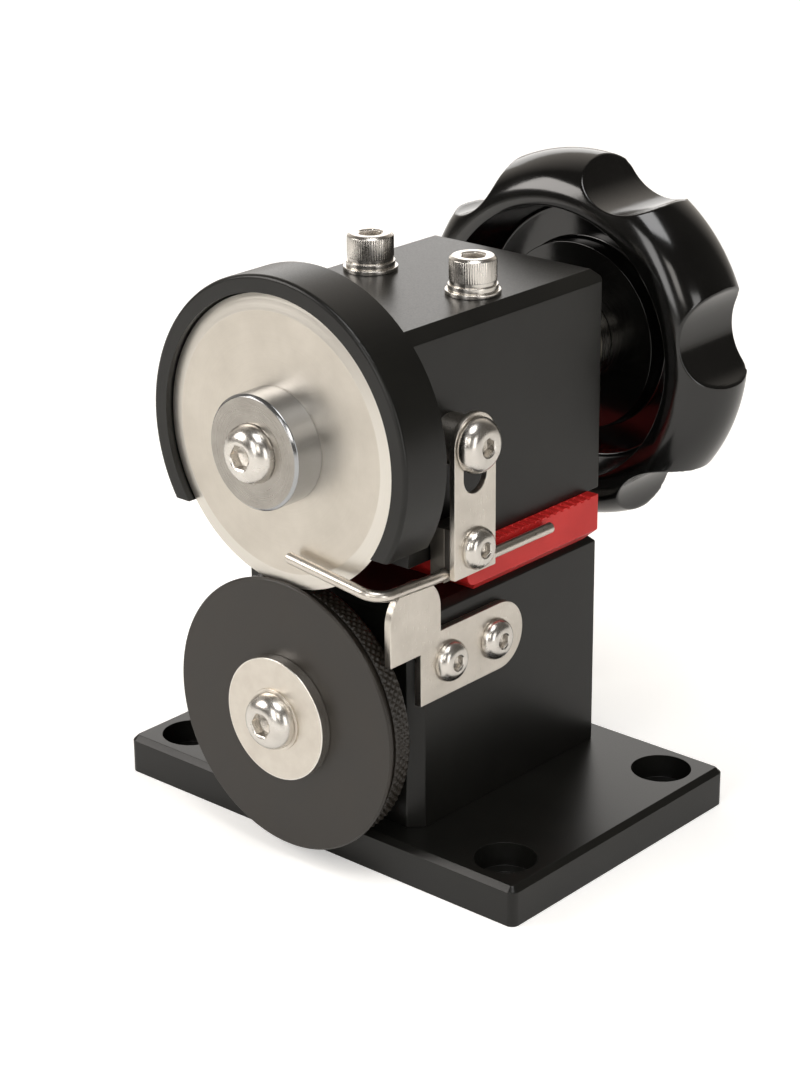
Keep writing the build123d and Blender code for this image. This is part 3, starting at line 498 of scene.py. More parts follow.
def spinStart(tree, given):
    # a grid with a column for each step round the axis and a row for each point of the section
    size = add(tree, "GeometryNodeAttributeDomainSize", {"Geometry": given.outputs["Section"]})
    points = size.outputs["Point Count"]
    grid = add(tree, "GeometryNodeMeshGrid", {
        "Size X": 1.0, "Size Y": 1.0,
        "Vertices X": add(tree, "ShaderNodeMath", {0: given.outputs["Columns"], 1: 1.0}, operation="ADD"),
        "Vertices Y": add(tree, "ShaderNodeMath", {0: points, 1: 1.0}, operation="ADD"),
    })
    spot = add(tree, "ShaderNodeSeparateXYZ", {0: add(tree, "GeometryNodeInputPosition")})
    across = add(tree, "ShaderNodeMath", {0: spot.outputs["X"], 1: 0.5}, operation="ADD")
    along = add(tree, "ShaderNodeMath", {0: spot.outputs["Y"], 1: 0.5}, operation="ADD")
    row = add(tree, "ShaderNodeMath", {
        0: add(tree, "ShaderNodeMath", {0: along, 1: points}, operation="MULTIPLY"),
    }, operation="ROUND")
    row = add(tree, "ShaderNodeMath", {0: row, 1: points}, operation="FLOORED_MODULO")
    sampled = {}
    sources = {"place": add(tree, "GeometryNodeInputPosition")}
    for label in ("hexShare", "knurlShare"):
        sources[label] = add(tree, "GeometryNodeInputNamedAttribute", {"Name": label}, data_type="FLOAT")
    for label, source in sources.items():
        kind = "FLOAT_VECTOR" if label == "place" else "FLOAT"
        sampled[label] = add(tree, "GeometryNodeSampleIndex", {
            "Geometry": given.outputs["Section"], "Value": source, "Index": row,
        }, data_type=kind)
    place = add(tree, "ShaderNodeSeparateXYZ", {0: sampled["place"]})
    sweep = add(tree, "ShaderNodeMath", {0: math.tau, 1: given.outputs["Slit"]}, operation="SUBTRACT")
    turned = add(tree, "ShaderNodeMath", {0: across, 1: sweep, 2: given.outputs["Start Angle"]},
                 operation="MULTIPLY_ADD")
    return {
        "grid": grid.outputs["Mesh"], "turn": turned,
        "radius": place.outputs["X"], "height": place.outputs["Z"],
        "hexShare": sampled["hexShare"], "knurlShare": sampled["knurlShare"],
    }


def spinEnd(tree, spin, radius):
    # puts each grid point at its radius, angle and height, and closes the seam
    place = add(tree, "ShaderNodeCombineXYZ", {
        0: add(tree, "ShaderNodeMath", {
            0: radius, 1: add(tree, "ShaderNodeMath", {0: spin["turn"]}, operation="COSINE"),
        }, operation="MULTIPLY"),
        1: add(tree, "ShaderNodeMath", {
            0: radius, 1: add(tree, "ShaderNodeMath", {0: spin["turn"]}, operation="SINE"),
        }, operation="MULTIPLY"),
        2: spin["height"],
    })
    moved = add(tree, "GeometryNodeSetPosition", {"Geometry": spin["grid"], "Position": place})
    return add(tree, "GeometryNodeMergeByDistance", {
        "Geometry": moved, "Distance": cleaning["mergeMm"] * mm,
    })


def rowAndFinish(tree, given, shape):
    # stands copies of the shape in a row, turned to face one way, and gives them their material
    line = add(tree, "GeometryNodeMeshLine", {
        "Count": given.outputs["Count"],
        "Start Location": given.outputs["First Place"],
        "Offset": given.outputs["Step"],
    }, mode="OFFSET")
    facing = add(tree, "FunctionNodeEulerToRotation", {0: given.outputs["Facing"]})
    copies = add(tree, "GeometryNodeInstanceOnPoints", {
        "Points": line, "Instance": shape, "Rotation": facing,
    })
    real = add(tree, "GeometryNodeRealizeInstances", {"Geometry": copies})
    done = add(tree, "GeometryNodeSetMaterial", {"Geometry": real, "Material": given.outputs["Material"]})
    tree.links.new(done.outputs["Geometry"], tree.nodes["Group Output"].inputs["Mesh"])


def newTree(name, sockets):
    tree = bpy.data.node_groups.new(name, "GeometryNodeTree")
    for label, kind in sockets:
        tree.interface.new_socket(label, in_out="INPUT", socket_type="NodeSocket" + kind)
    tree.interface.new_socket("Mesh", in_out="OUTPUT", socket_type="NodeSocketGeometry")
    given = tree.nodes.new("NodeGroupInput")
    tree.nodes.new("NodeGroupOutput")
    return tree, given


spinSockets = [
    ("Section", "Geometry"), ("Columns", "Int"), ("Start Angle", "Float"), ("Slit", "Float"),
    ("Count", "Int"), ("First Place", "Vector"), ("Step", "Vector"), ("Facing", "Vector"),
    ("Material", "Material"),
]


def turnedTree():
    # the section's points can take a hexagon's outline for a key socket, or a knurl cut into them
    tree, given = newTree("turned_part", [
        *spinSockets, ("Knurl Teeth", "Int"), ("Knurl Depth", "Float"), ("Knurl Slant", "Float"),
    ])
    spin = spinStart(tree, given)
    sixth = add(tree, "ShaderNodeMath", {0: spin["turn"], 1: math.tau / 6}, operation="FLOORED_MODULO")
    offCorner = add(tree, "ShaderNodeMath", {0: sixth, 1: math.tau / 12}, operation="SUBTRACT")
    hexOutline = add(tree, "ShaderNodeMath", {
        0: 1.0, 1: add(tree, "ShaderNodeMath", {0: offCorner}, operation="COSINE"),
    }, operation="DIVIDE")
    hexMore = add(tree, "ShaderNodeMath", {0: hexOutline, 1: 1.0}, operation="SUBTRACT")
    hexGrow = add(tree, "ShaderNodeMath", {
        0: hexMore, 1: spin["hexShare"], 2: 1.0,
    }, operation="MULTIPLY_ADD")
    keyed = add(tree, "ShaderNodeMath", {0: spin["radius"], 1: hexGrow}, operation="MULTIPLY")

    toothTurns = add(tree, "ShaderNodeMath", {
        0: add(tree, "ShaderNodeMath", {0: spin["turn"], 1: math.tau}, operation="DIVIDE"),
        1: given.outputs["Knurl Teeth"],
    }, operation="MULTIPLY")
    climb = add(tree, "ShaderNodeMath", {
        0: spin["height"], 1: given.outputs["Knurl Slant"],
    }, operation="MULTIPLY")
    ridges = []
    for hand in ("ADD", "SUBTRACT"):
        wound = add(tree, "ShaderNodeMath", {0: toothTurns, 1: climb}, operation=hand)
        wave = add(tree, "ShaderNodeMath", {0: wound, 1: 0.5}, operation="PINGPONG")
        ridges.append(add(tree, "ShaderNodeMath", {0: wave, 1: 2.0}, operation="MULTIPLY"))
    ridge = add(tree, "ShaderNodeMath", {0: ridges[0], 1: ridges[1]}, operation="MINIMUM")
    valley = add(tree, "ShaderNodeMath", {0: 1.0, 1: ridge}, operation="SUBTRACT")
    cut = add(tree, "ShaderNodeMath", {0: valley, 1: spin["knurlShare"]}, operation="MULTIPLY")
    cut = add(tree, "ShaderNodeMath", {0: cut, 1: given.outputs["Knurl Depth"]}, operation="MULTIPLY")
    radius = add(tree, "ShaderNodeMath", {0: keyed, 1: cut}, operation="SUBTRACT")
    rowAndFinish(tree, given, spinEnd(tree, spin, radius))
    return tree


def scoopedTree():
    # a spun rim with finger scoops: round cylinders along the axis, cut into its outside
    tree, given = newTree("scooped_wheel", [
        *spinSockets, ("Scoops", "Int"), ("First Scoop", "Float"), ("Scoop Radius", "Float"),
        ("Scoop Centre", "Float"), ("Edge Softness", "Float"),
    ])
    spin = spinStart(tree, given)
    pitch = add(tree, "ShaderNodeMath", {0: math.tau, 1: given.outputs["Scoops"]}, operation="DIVIDE")
    half = add(tree, "ShaderNodeMath", {0: pitch, 1: 0.5}, operation="MULTIPLY")
    fromFirst = add(tree, "ShaderNodeMath", {0: spin["turn"], 1: given.outputs["First Scoop"]},
                    operation="SUBTRACT")
    shifted = add(tree, "ShaderNodeMath", {0: fromFirst, 1: half}, operation="ADD")
    wrapped = add(tree, "ShaderNodeMath", {0: shifted, 1: pitch}, operation="FLOORED_MODULO")
    off = add(tree, "ShaderNodeMath", {0: wrapped, 1: half}, operation="SUBTRACT")
    centre = given.outputs["Scoop Centre"]
    reach = add(tree, "ShaderNodeMath", {
        0: centre, 1: add(tree, "ShaderNodeMath", {0: off}, operation="COSINE"),
    }, operation="MULTIPLY")
    side = add(tree, "ShaderNodeMath", {
        0: centre, 1: add(tree, "ShaderNodeMath", {0: off}, operation="SINE"),
    }, operation="MULTIPLY")
    sideSquare = add(tree, "ShaderNodeMath", {0: side, 1: 2.0}, operation="POWER")
    radiusSquare = add(tree, "ShaderNodeMath", {
        0: given.outputs["Scoop Radius"], 1: 2.0,
    }, operation="POWER")
    inside = add(tree, "ShaderNodeMath", {0: radiusSquare, 1: sideSquare}, operation="SUBTRACT")
    depth = add(tree, "ShaderNodeMath", {
        0: add(tree, "ShaderNodeMath", {0: inside, 1: 0.0}, operation="MAXIMUM"),
    }, operation="SQRT")
    wall = add(tree, "ShaderNodeMath", {0: reach, 1: depth}, operation="SUBTRACT")
    clear = add(tree, "ShaderNodeMath", {0: inside, 1: 0.0}, operation="LESS_THAN")
    wall = add(tree, "ShaderNodeMath", {0: clear, 1: centre, 2: wall}, operation="MULTIPLY_ADD")
    radius = add(tree, "ShaderNodeMath", {
        0: spin["radius"], 1: wall, 2: given.outputs["Edge Softness"],
    }, operation="SMOOTH_MIN")
    rowAndFinish(tree, given, spinEnd(tree, spin, radius))
    return tree


trees = {"turned": turnedTree(), "scooped": scoopedTree()}


roundingSteps = 3


def softened(corners):
    # corners are (radius, height, rounding, hex share, knurl share); a rounded one becomes a short curve
    points = []
    for i, corner in enumerate(corners):
        radius, height, rounding, hexShare, knurlShare = (tuple(corner) + (0, 0, 0))[:5]
        here = Vector((radius, height))
        if not rounding:
            points.append((radius, height, hexShare, knurlShare))
            continue
        before = (Vector(corners[i - 1][:2]) - here).normalized() * rounding
        after = (Vector(corners[(i + 1) % len(corners)][:2]) - here).normalized() * rounding
        for step in range(roundingSteps + 1):
            t = step / roundingSteps
            spot = here + before * (1 - t) ** 2 + after * t ** 2
            points.append((spot.x, spot.y, hexShare, knurlShare))
    return points


def arcThrough(start, middlePoint, end, steps):
    # points of the circle arc through three places, without its two ends
    a, b, c = Vector(start), Vector(middlePoint), Vector(end)
    aa, bb, cc = (p.length_squared for p in (a, b, c))
    d = 2 * (a.x * (b.y - c.y) + b.x * (c.y - a.y) + c.x * (a.y - b.y))
    centre = Vector((
        (aa * (b.y - c.y) + bb * (c.y - a.y) + cc * (a.y - b.y)) / d,
        (aa * (c.x - b.x) + bb * (a.x - c.x) + cc * (b.x - a.x)) / d,
    ))
    radius = (a - centre).length
    angles = [math.atan2(p.y - centre.y, p.x - centre.x) for p in (a, b, c)]
    way = 1 if (b - a).cross(c - b) > 0 else -1
    sweep = (angles[2] - angles[0]) * way % math.tau * way
    return [
        (centre.x + radius * math.cos(angles[0] + sweep * k / steps),
         centre.y + radius * math.sin(angles[0] + sweep * k / steps))
        for k in range(1, steps)
    ]


def tangentArcMiddle(before, start, end):
    # the middle of the arc that carries on smoothly from the step before it to its end
    start, end = Vector(start), Vector(end)
    way = (start - Vector(before)).normalized()
    chord = end - start
    square = Vector((-way.y, way.x))
    radius = chord.length_squared / (2 * chord.dot(square))
    centre = start + square * radius
    return centre + ((start + end) / 2 - centre).normalized() * abs(radius)


def axisOf(node, facing, count=1):
    # where the axis starts, the step to the next copy, and the length and radius, all from the CAD box
    low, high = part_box(node)
    size = high - low
    along = facings[facing]["axis"]
    across = [a for a in range(3) if a != along]
    radius = min(size[a] for a in across) / 2
    start = (low + high) / 2
    start[along] = low[along] if facings[facing]["sign"] > 0 else high[along]
    step = Vector((0, 0, 0))
    if count > 1:
        row = max(across, key=lambda a: size[a])
        start[row] = low[row] + radius
        step[row] = (size[row] - 2 * radius) / (count - 1)
    return start, step, size[along] / mm, radius / mm


def grown(piece, tree, values, sharpDegrees):
    # runs the tree on the piece with its inputs set, and keeps the result as a plain mesh
    modifier = piece.modifiers.new("shape", "NODES")
    modifier.node_group = tree
    for socket in tree.interface.items_tree:
        if socket.in_out == "INPUT" and socket.name in values:
            modifier[socket.identifier] = values[socket.name]
    evaluated(piece)
    return tidied(piece, sharpDegrees)


def spun(name, node, facing, outline, shape, tree="turned", material=None, **inputs):
    # the outline gives the section's corners; the shape may also set count, columns, sharp, slit and knurl
    count = shape.get("count", 1)
    start, step, length, radius = axisOf(node, facing, count)
    points = softened(outline(shape, length, radius))
    total = len(points)
    mesh = bpy.data.meshes.new(name)
    ring = [(i, (i + 1) % total) for i in range(total)]
    mesh.from_pydata([(p[0] * mm, 0, p[1] * mm) for p in points], ring, [])
    for place, label in ((2, "hexShare"), (3, "knurlShare")):
        layer = mesh.attributes.new(label, "FLOAT", "POINT")
        layer.data.foreach_set("value", [p[place] for p in points])
    slit = shape.get("slit", 0) / radius
    piece = grown(newObject(name, mesh), trees[tree], {
        "Columns": shape.get("columns", 96), "Count": count, "First Place": start, "Step": step,
        "Slit": slit, "Start Angle": math.radians(shape.get("slitTurn", 0)) + slit / 2,
        "Knurl Teeth": shape.get("teeth", 0), "Knurl Depth": shape.get("knurlDepth", 0) * mm,
        "Facing": [math.radians(a) for a in facings[facing]["turn"]],
        "Material": material or finishes[slotOf[node]], **inputs,
    }, shape.get("sharp", 50))
    return stands(piece, node, material)


def ringCorners(shape, length, radius):
    bore, edge = shape["bore"], shape["edge"]
    return [(bore, 0, edge), (radius, 0, edge), (radius, length, edge), (bore, length, edge)]


# sizes in mm, and shares of the key's width or the thread's radius
keySocket = {"countersink": 0.62, "mouthRounding": 0.05, "countersinkDepth": 0.22, "flatsRounding": 0.03,
             "floorStep": 0.05, "floorShare": 0.9, "floorHexShare": 0.6, "drillCone": 0.16}
shankShape = {"tipShare": 0.2, "runOut": 0.3}


def socketCorners(top, key, depth):
    # a hexagon key socket with its turned countersink and drilled floor
    shape = keySocket
    return [
        (key * shape["countersink"], top, shape["mouthRounding"]),
        (key / 2, top - shape["countersinkDepth"], shape["flatsRounding"], 1),
        (key / 2, top - depth, 0, 1),
        (key / 2 * shape["floorShare"], top - depth - shape["floorStep"], 0, shape["floorHexShare"]),
        (0, top - depth - key * shape["drillCone"]),
    ]


def shankCorners(thread, seat):
    # a threaded shank seen from outside: a chamfered tip and rolled thread crests
    tip = shankShape["tipShare"] * thread
    return [(0, 0), (thread - tip, 0), (thread, tip), (thread, seat - shankShape["runOut"])]


# shares of a button head's radius and height; its edge and rounding are in mm
buttonHead = {"rimHeight": 0.15, "domeRadius": 0.86, "domeHeight": 0.70, "crownRadius": 0.52,
              "socketDepth": 0.6, "underEdge": 0.1, "crownRounding": 0.06, "domeSteps": 12}


def buttonCorners(screw, length, headRadius):
    shape = buttonHead
    thread, headHeight = screw["thread"], screw["height"]
    seat = length - headHeight
    rim = (headRadius, seat + shape["rimHeight"] * headHeight)
    dome = (shape["domeRadius"] * headRadius, seat + shape["domeHeight"] * headHeight)
    crown = (shape["crownRadius"] * headRadius, length)
    return [
        *shankCorners(thread, seat), (thread, seat), (headRadius - shape["underEdge"], seat),
        (headRadius, seat + shape["underEdge"]), rim, *arcThrough(rim, dome, crown, shape["domeSteps"]),
        (*crown, shape["crownRounding"]),
        *socketCorners(length, screw["key"], shape["socketDepth"] * headHeight),
    ]


buttonScrews = {
    "bladeScrew": {"node": "blade_screw", "facing": "front", "thread": 3.0, "key": 4.0, "height": 3.3},
    "rollerScrew": {"node": "roller_screw", "facing": "front", "thread": 3.0, "key": 4.0, "height": 3.3},
    "wheelScrew": {"node": "wheel_screw", "facing": "back", "thread": 3.0, "key": 4.0, "height": 3.3},
    "bracketScrew": {"node": "bracket_screw", "facing": "right", "thread": 2.5, "key": 3.0, "height": 3.0},
    "jawScrew": {"node": "jaw_screw", "facing": "right", "thread": 2.0, "key": 2.5, "height": 2.2},
    "sidePlateScrews": {"node": "side_plate_screws", "facing": "right", "thread": 2.0, "key": 2.5,
                        "height": 2.2, "count": 2},
}
for name, screw in buttonScrews.items():
    spun(name, screw["node"], screw["facing"], buttonCorners, screw)

capScrew = {
    "thread": 2.5, "key": 4.0, "height": 5.0, "chamfer": 0.45, "chamferSlope": 1.3, "band": 0.85,
    "teeth": 60, "knurlDepth": 0.07, "knurlGap": 0.15, "knurlRamp": 0.12, "rounding": 0.08,
    "bandRounding": 0.04, "chamferRounding": 0.05, "socketDepth": 0.55, "count": 2, "columns": 360,
}


def capCorners(screw, length, radius):
    seat = length - screw["height"]
    knurlStart = seat + screw["band"]
    knurlEnd = length - screw["chamfer"] - screw["knurlGap"]
    inner = radius - screw["knurlDepth"]
    return [
        *shankCorners(screw["thread"], seat), (screw["thread"], seat), (inner, seat, screw["rounding"]),
        (inner, knurlStart - screw["knurlRamp"], screw["bandRounding"]),
        (radius, knurlStart, 0, 0, 1), (radius, knurlEnd, 0, 0, 1), (inner, knurlEnd + screw["knurlRamp"]),
        (inner, length - screw["chamfer"], screw["chamferRounding"]),
        (radius - screw["chamfer"] * screw["chamferSlope"], length, screw["rounding"]),
        *socketCorners(length, screw["key"], screw["socketDepth"] * screw["height"]),
    ]


spun("clampScrews", "clamp_screws", "up", capCorners, capScrew)

washers = {
    "flatWashers": {"node": "flat_washers", "facing": "up", "bore": 2.75, "edge": 0.12, "count": 2},
    "springWashers": {"node": "spring_washers", "facing": "up", "bore": 2.75, "edge": 0.1, "count": 2,
                      "slit": 0.8, "slitTurn": 150},
    "wheelWasher": {"node": "wheel_washer", "facing": "back", "bore": 3.25, "edge": 0.2},
    "rollerThinWasher": {"node": "roller_thin_washer", "facing": "front", "bore": 3.25, "edge": 0.08,
                         "finish": washerSteel},
    "rollerWasher": {"node": "roller_washer", "facing": "front", "bore": 3.25, "edge": 0.18,
                     "finish": washerSteel},
    "bracketSleeve": {"node": "bracket_sleeve", "facing": "right", "bore": 2.75, "edge": 0.15},
    "wheelSpacer": {"node": "wheel_spacer", "facing": "back", "bore": 6.0, "edge": 0.25},
}
washerColumns = 120
for name, washer in washers.items():
    spun(name, washer["node"], washer["facing"], ringCorners, {"columns": washerColumns, **washer},
         material=washer.get("finish"))

# the round cutter: ground flat, with its bevel on the front and the edge at the back
bladeShape = {"bore": 6.05, "land": 0.05, "rounding": 0.12, "columns": 240, "sharp": 18}


def bladeCorners(shape, length, radius):
    return [
        (shape["bore"], 0), (radius, 0), (radius, shape["land"]),
        (bladeLook["bevelRadius"], length, shape["rounding"]), (shape["bore"], length),
    ]


spun("bladeDisc", "blade", "front", bladeCorners, bladeShape)

hubShape = {"bore": 3.05, "innerBore": 6.05, "wall": 2.6, "chamfer": 0.5, "footRounding": 0.15,
            "rounding": 0.12, "columns": 180, "sharp": 60}


def hubCorners(shape, length, radius):
    return [
        (shape["innerBore"], 0), (radius, 0, shape["footRounding"]),
        (radius, length - shape["chamfer"], shape["rounding"]),
        (radius - shape["chamfer"], length, shape["rounding"]), (shape["bore"], length),
        (shape["bore"], length - shape["wall"]), (shape["innerBore"], length - shape["wall"]),
    ]


spun("hubCollar", "hub_collar", "front", hubCorners, hubShape)

# the anvil disc is thin and flat; its front edge has a small turned chamfer
anvilShape = {"bore": 6.05, "chamfer": 0.3, "backRounding": 0.08, "rounding": 0.1, "columns": 240,
              "sharp": 60}


def anvilCorners(shape, length, radius):
    return [
        (shape["bore"], 0), (radius, 0, shape["backRounding"]),
        (radius, length - shape["chamfer"], shape["rounding"]),
        (radius - shape["chamfer"], length, shape["rounding"]), (shape["bore"], length),
    ]


spun("anvilDisc", "anvil_disc", "front", anvilCorners, anvilShape)

# the feed roller: a knurled band that grips the work, with a plain spigot in front for the disc
rollerShape = {
    "bore": 6.05, "spigotRadius": 24.2, "bandLength": 3.7, "chamfer": 0.5, "frontEdge": (0.4, 0.25),
    "teeth": 104, "knurlDepth": 0.38, "knurlPitch": 1.5, "rows": 14, "columnsPerTooth": 8, "sharp": 60,
}
rollerShape["columns"] = rollerShape["teeth"] * rollerShape["columnsPerTooth"]


def rollerCorners(shape, length, radius):
    bandStart = shape["chamfer"]
    edgeIn, edgeBack = shape["frontEdge"]
    bandEnd = shape["bandLength"] - edgeBack
    corners = [(shape["bore"], 0), (radius - shape["chamfer"], 0)]
    for k in range(shape["rows"] + 1):
        height = bandStart + (bandEnd - bandStart) * k / shape["rows"]
        corners.append((radius, height, 0, 0, 1))
    return corners + [
        (radius - edgeIn, shape["bandLength"]), (shape["spigotRadius"], shape["bandLength"]),
        (shape["spigotRadius"], length), (shape["bore"], length),
    ]


spun("feedRoller", "feed_roller", "front", rollerCorners, rollerShape,
     **{"Knurl Slant": perMetre(rollerShape["knurlPitch"])})
print("turned pieces made")

# handwheel

# radii are from the shaft line; heights are from the wheel's back face towards the machine
wheelShape = {
    "lipRadius": 26.65, "lipHeight": 17.3, "rimCentreRadius": 23.4, "rimCentreHeight": 7.2,
    "rimRadius": 12.25, "rimBackHeight": 0.8, "rimFrontHeight": 14.0, "backChamfer": 1.2,
    "dishRadius": 14.0, "dishDepth": 1.0, "recessRadius": 10.5, "recessHeight": 5.0,
    "insertRadius": 9.0, "bossHeight": 10.1, "bossRadius": 18.4, "grooveHeight": 6.0,
    "grooveRadius": 24.8, "scoops": 6, "firstScoop": 9.1, "scoopRadius": 11.0, "scoopCentre": 40.9,
    "softness": 0.45, "rimSteps": 88, "noseSteps": 18, "columns": 720, "sharp": 70,
}
wheelRounding = {"recess": 0.3, "dish": 0.8, "back": 0.5, "lip": 0.12, "groove": 0.6, "boss": 0.18,
                 "insert": 0.2}


def wheelCorners(shape, *_):
    # its own values give the whole section, so the box's length and radius aren't needed
    rounding = wheelRounding
    centre = Vector((shape["rimCentreRadius"], shape["rimCentreHeight"]))
    start, end = (math.asin((shape[height] - centre.y) / shape["rimRadius"])
                  for height in ("rimBackHeight", "rimFrontHeight"))
    rim = []
    for k in range(shape["rimSteps"] + 1):
        angle = start + (end - start) * k / shape["rimSteps"]
        rim.append(tuple(centre + shape["rimRadius"] * Vector((math.cos(angle), math.sin(angle)))))
    lip = (shape["lipRadius"], shape["lipHeight"])
    noseMiddle = tangentArcMiddle(rim[-2], rim[-1], lip)
    return [
        (shape["insertRadius"], shape["recessHeight"]),
        (shape["recessRadius"], shape["recessHeight"], rounding["recess"]),
        (shape["recessRadius"], shape["dishDepth"], rounding["recess"]),
        (shape["dishRadius"], shape["dishDepth"], rounding["dish"]),
        (rim[0][0] - shape["backChamfer"], 0, rounding["back"]), *rim,
        *arcThrough(rim[-1], noseMiddle, lip, shape["noseSteps"]), (*lip, rounding["lip"]),
        (shape["grooveRadius"], shape["grooveHeight"], rounding["groove"]),
        (shape["bossRadius"], shape["grooveHeight"], rounding["groove"]),
        (shape["bossRadius"], shape["bossHeight"], rounding["boss"]),
        (shape["insertRadius"], shape["bossHeight"], rounding["insert"]),
    ]


spun("handWheel", "handwheel", "front", wheelCorners, wheelShape, tree="scooped", **{
    "Scoops": wheelShape["scoops"], "First Scoop": math.radians(wheelShape["firstScoop"]),
    "Scoop Radius": wheelShape["scoopRadius"] * mm, "Scoop Centre": wheelShape["scoopCentre"] * mm,
    "Edge Softness": wheelShape["softness"] * mm,
})
print("handwheel made")

# guide wire

# the bent wire runs forward through the jaws, turns across the blade and ends free
wireShape = {
    "route": [(24.1, 7.5, 56.6), (24.1, -25.0, 56.6), (24.1, -39.0, 57.3), (3.8, -39.0, 59.8)],
    "bends": [12.0, 3.5], "radius": 1.0, "tip": 0.25, "sides": 32, "arcSteps": 14, "sharp": 30,
}


def wireTree():
    tree, given = newTree("bent_wire", [
        ("Route", "Geometry"), ("Wire Radius", "Float"), ("Sides", "Int"), ("Arc Steps", "Int"),
        ("Material", "Material"),
    ])
    line = add(tree, "GeometryNodeMeshToCurve", {"Mesh": given.outputs["Route"]})
    bend = add(tree, "GeometryNodeInputNamedAttribute", {"Name": "bend"}, data_type="FLOAT")
    taper = add(tree, "GeometryNodeInputNamedAttribute", {"Name": "taper"}, data_type="FLOAT")
    rounded = add(tree, "GeometryNodeFilletCurve", {
        "Curve": line, "Radius": bend, "Count": given.outputs["Arc Steps"], "Limit Radius": False,
    }, mode="POLY")
    sized = add(tree, "GeometryNodeSetCurveRadius", {"Curve": rounded, "Radius": taper})
    outline = add(tree, "GeometryNodeCurvePrimitiveCircle", {
        "Resolution": given.outputs["Sides"], "Radius": given.outputs["Wire Radius"],
    })
    tube = add(tree, "GeometryNodeCurveToMesh", {
        "Curve": sized, "Profile Curve": outline.outputs["Curve"], "Fill Caps": True,
    })
    real = add(tree, "GeometryNodeRealizeInstances", {"Geometry": tube})
    done = add(tree, "GeometryNodeSetMaterial", {"Geometry": real, "Material": given.outputs["Material"]})
    tree.links.new(done.outputs["Geometry"], tree.nodes["Group Output"].inputs["Mesh"])
    return tree


def bentWire(shape):
    route = [Vector(p) for p in shape["route"]]
    tip = shape["tip"]
    ends = [(route[1] - route[0]).normalized() * tip, (route[-2] - route[-1]).normalized() * tip]
    points = [route[0], route[0] + ends[0], *route[1:-1], route[-1] + ends[1], route[-1]]
    bends = [0, 0, *shape["bends"], 0, 0]
    narrow = 1 - tip / shape["radius"]
    tapers = [narrow, *[1.0] * (len(points) - 2), narrow]
    mesh = bpy.data.meshes.new("guideWire")
    mesh.from_pydata([p * mm for p in points], [(i, i + 1) for i in range(len(points) - 1)], [])
    for label, values in (("bend", [b * mm for b in bends]), ("taper", tapers)):
        mesh.attributes.new(label, "FLOAT", "POINT").data.foreach_set("value", values)
    piece = grown(newObject("guideWire", mesh), wireTree(), {
        "Wire Radius": shape["radius"] * mm, "Sides": shape["sides"], "Arc Steps": shape["arcSteps"],
        "Material": wireSteel,
    }, shape["sharp"])
    stands(piece, "guide_wire", wireSteel)


bentWire(wireShape)
print("guide wire made")

# camera, floor and lights

# angles in degrees, places in mm
view = {
    "azimuth": 41.495, "elevation": 21.259, "roll": -0.508, "focalPixels": 2654.93, "imageWidth": 800,
    "sensor": 36.0, "target": (-4.35, -1.01, 50.94), "distance": 490.28, "clip": (0.01, 20),
}


def camera(view):
    azimuth, elevation, roll = (math.radians(view[a]) for a in ("azimuth", "elevation", "roll"))
    forward = Vector((-math.sin(azimuth) * math.cos(elevation), math.cos(azimuth) * math.cos(elevation),
                      -math.sin(elevation)))
    right = Vector((math.cos(azimuth), math.sin(azimuth), 0))
    up = right.cross(forward)
    across = math.cos(roll) * right + math.sin(roll) * up
    upward = math.cos(roll) * up - math.sin(roll) * right
    data = bpy.data.cameras.new("camera")
    data.sensor_fit = "HORIZONTAL"
    data.sensor_width = view["sensor"]
    data.lens = view["focalPixels"] / view["imageWidth"] * view["sensor"]
    data.clip_start, data.clip_end = view["clip"]
    eye = (Vector(view["target"]) - forward * view["distance"]) * mm
    place = bpy.data.objects.new("camera", data)
    place.matrix_world = Matrix.Translation(eye) @ Matrix((across, upward, -forward)).transposed().to_4x4()
    scene.collection.objects.link(place)
    scene.camera = place


# lengths in metres, with the drop and the aim's height in mm
floorLook = {
    "colour": "#f4f4f3", "roughness": 0.7, "specular": 0.2, "lift": 0.36, "glow": 0.05, "half": 3.0,
    "drop": 0.05,
}
studio = {
    "backdropWay": (-0.64, 0.70, 0.32), "backdropStart": 0.55, "backdropFull": 0.9,
    "backdropLevel": 0.74, "roomLevel": 0.1, "fillLevel": 0.4, "tint": "#fff6ea", "aimHeight": 50,
}
lamps = {
    "keySoftbox": {"place": (-0.66, -0.66, 0.58), "size": (0.5, 0.5), "power": 5.0, "colour": "#fffaf5"},
    "frontSoftbox": {"place": (0.19, -0.98, 0.46), "size": (0.25, 0.7), "power": 2.2, "colour": "#fffdfb"},
    "rightSoftbox": {"place": (1.04, -0.22, 0.24), "size": (0.3, 0.6), "power": 1.8, "colour": "#fffdfb"},
    "backSoftbox": {"place": (-0.81, 0.91, 0.43), "size": (1.0, 0.5), "power": 2.3, "colour": "#ffffff"},
    "topSoftbox": {"place": (0.3, -0.2, 1.0), "size": (0.45, 0.45), "power": 3.5, "colour": "#ffffff"},
    "eyeSoftbox": {"place": (0.62, -0.8, 0.55), "size": (0.22, 0.4), "power": 1.0, "colour": "#fffaf3"},
}


def rayKinds(tree):
    # tells the camera's own rays from those that come by way of a mirror or glass
    path = add(tree, "ShaderNodeLightPath")
    mirrored = add(tree, "ShaderNodeMath", {
        0: path.outputs["Is Glossy Ray"], 1: path.outputs["Is Transmission Ray"],
    }, operation="MAXIMUM")
    return path.outputs["Is Camera Ray"], mirrored


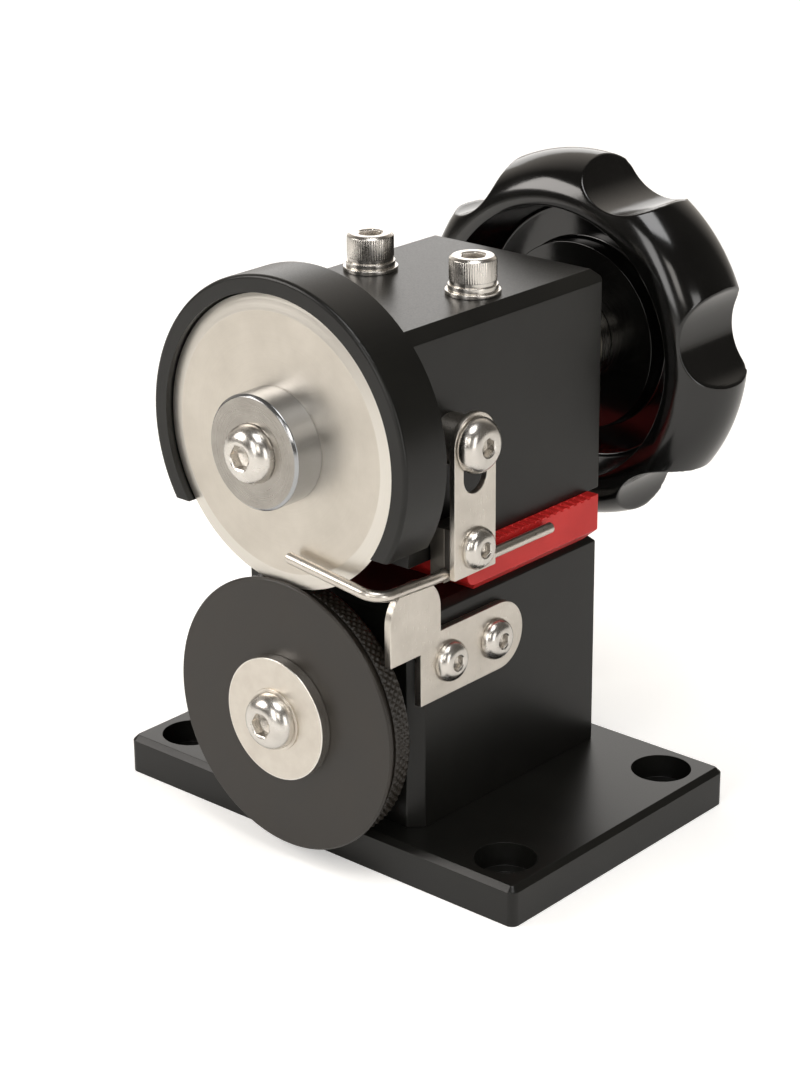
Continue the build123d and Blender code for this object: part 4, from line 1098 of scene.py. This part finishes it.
def paleFloor():
    # plain pale sweep, lifted towards white for the eye and less so in reflections; it keeps the shadow
    material, tree, shader = newMaterial("pale_floor", floorLook["colour"], floorLook["roughness"])
    seen, mirrored = rayKinds(tree)
    glow = add(tree, "ShaderNodeMath", {0: mirrored, 1: floorLook["glow"]}, operation="MULTIPLY")
    lift = add(tree, "ShaderNodeMath", {
        0: seen, 1: floorLook["lift"], 2: glow,
    }, operation="MULTIPLY_ADD")
    tree.links.new(lift.outputs[0], shader.inputs["Emission Strength"])
    shader.inputs["Emission Color"].default_value = linear("#ffffff")
    shader.inputs["Specular IOR Level"].default_value = floorLook["specular"]
    half, low = floorLook["half"], -floorLook["drop"] * mm
    corners = [(-half, -half, low), (half, -half, low), (half, half, low), (-half, half, low)]
    mesh = bpy.data.meshes.new("floor")
    mesh.from_pydata(corners, [], [(0, 1, 2, 3)])
    mesh.materials.append(material)
    newObject("floor", mesh)


def studioWorld():
    # soft light from all round for the surfaces, and for the eye and for reflections a white
    # backdrop behind the machine that fades to a darker room on the camera's side
    world = bpy.data.worlds.new("studio")
    scene.world = world
    world.use_nodes = True
    tree = world.node_tree
    tree.nodes.clear()
    direction = add(tree, "ShaderNodeTexCoord").outputs["Generated"]
    backness = add(tree, "ShaderNodeVectorMath", {
        0: direction, 1: studio["backdropWay"],
    }, operation="DOT_PRODUCT")
    backdrop = add(tree, "ShaderNodeMapRange", {
        "Value": backness.outputs["Value"],
        "From Min": studio["backdropStart"], "From Max": studio["backdropFull"],
        "To Min": studio["roomLevel"], "To Max": studio["backdropLevel"],
    })
    seen, mirrored = rayKinds(tree)
    litLevel = add(tree, "ShaderNodeMix", {
        "Factor": mirrored, "A": studio["fillLevel"], "B": backdrop,
    }, data_type="FLOAT")
    strength = add(tree, "ShaderNodeMix", {
        "Factor": seen, "A": litLevel, "B": 1.0,
    }, data_type="FLOAT")
    tint = add(tree, "ShaderNodeMix", {
        "Factor": seen, "A": linear(studio["tint"]), "B": linear("#ffffff"),
    }, data_type="RGBA")
    back = add(tree, "ShaderNodeBackground", {
        "Color": [s for s in tint.outputs if s.enabled][0], "Strength": strength,
    })
    out = tree.nodes.new("ShaderNodeOutputWorld")
    tree.links.new(back.outputs[0], out.inputs["Surface"])


def softboxes(lamps):
    aim = Vector((0, 0, studio["aimHeight"] * mm))
    for name, lamp in lamps.items():
        data = bpy.data.lights.new(name, "AREA")
        data.shape = "RECTANGLE"
        data.size, data.size_y = lamp["size"]
        data.energy = lamp["power"]
        data.color = linear(lamp["colour"])[:3]
        box = bpy.data.objects.new(name, data)
        box.location = Vector(lamp["place"])
        box.rotation_euler = (aim - box.location).to_track_quat("-Z", "Y").to_euler()
        scene.collection.objects.link(box)


camera(view)
paleFloor()
studioWorld()
softboxes(lamps)
scene.view_settings.view_transform = "Standard"
print("camera, floor and lights made")
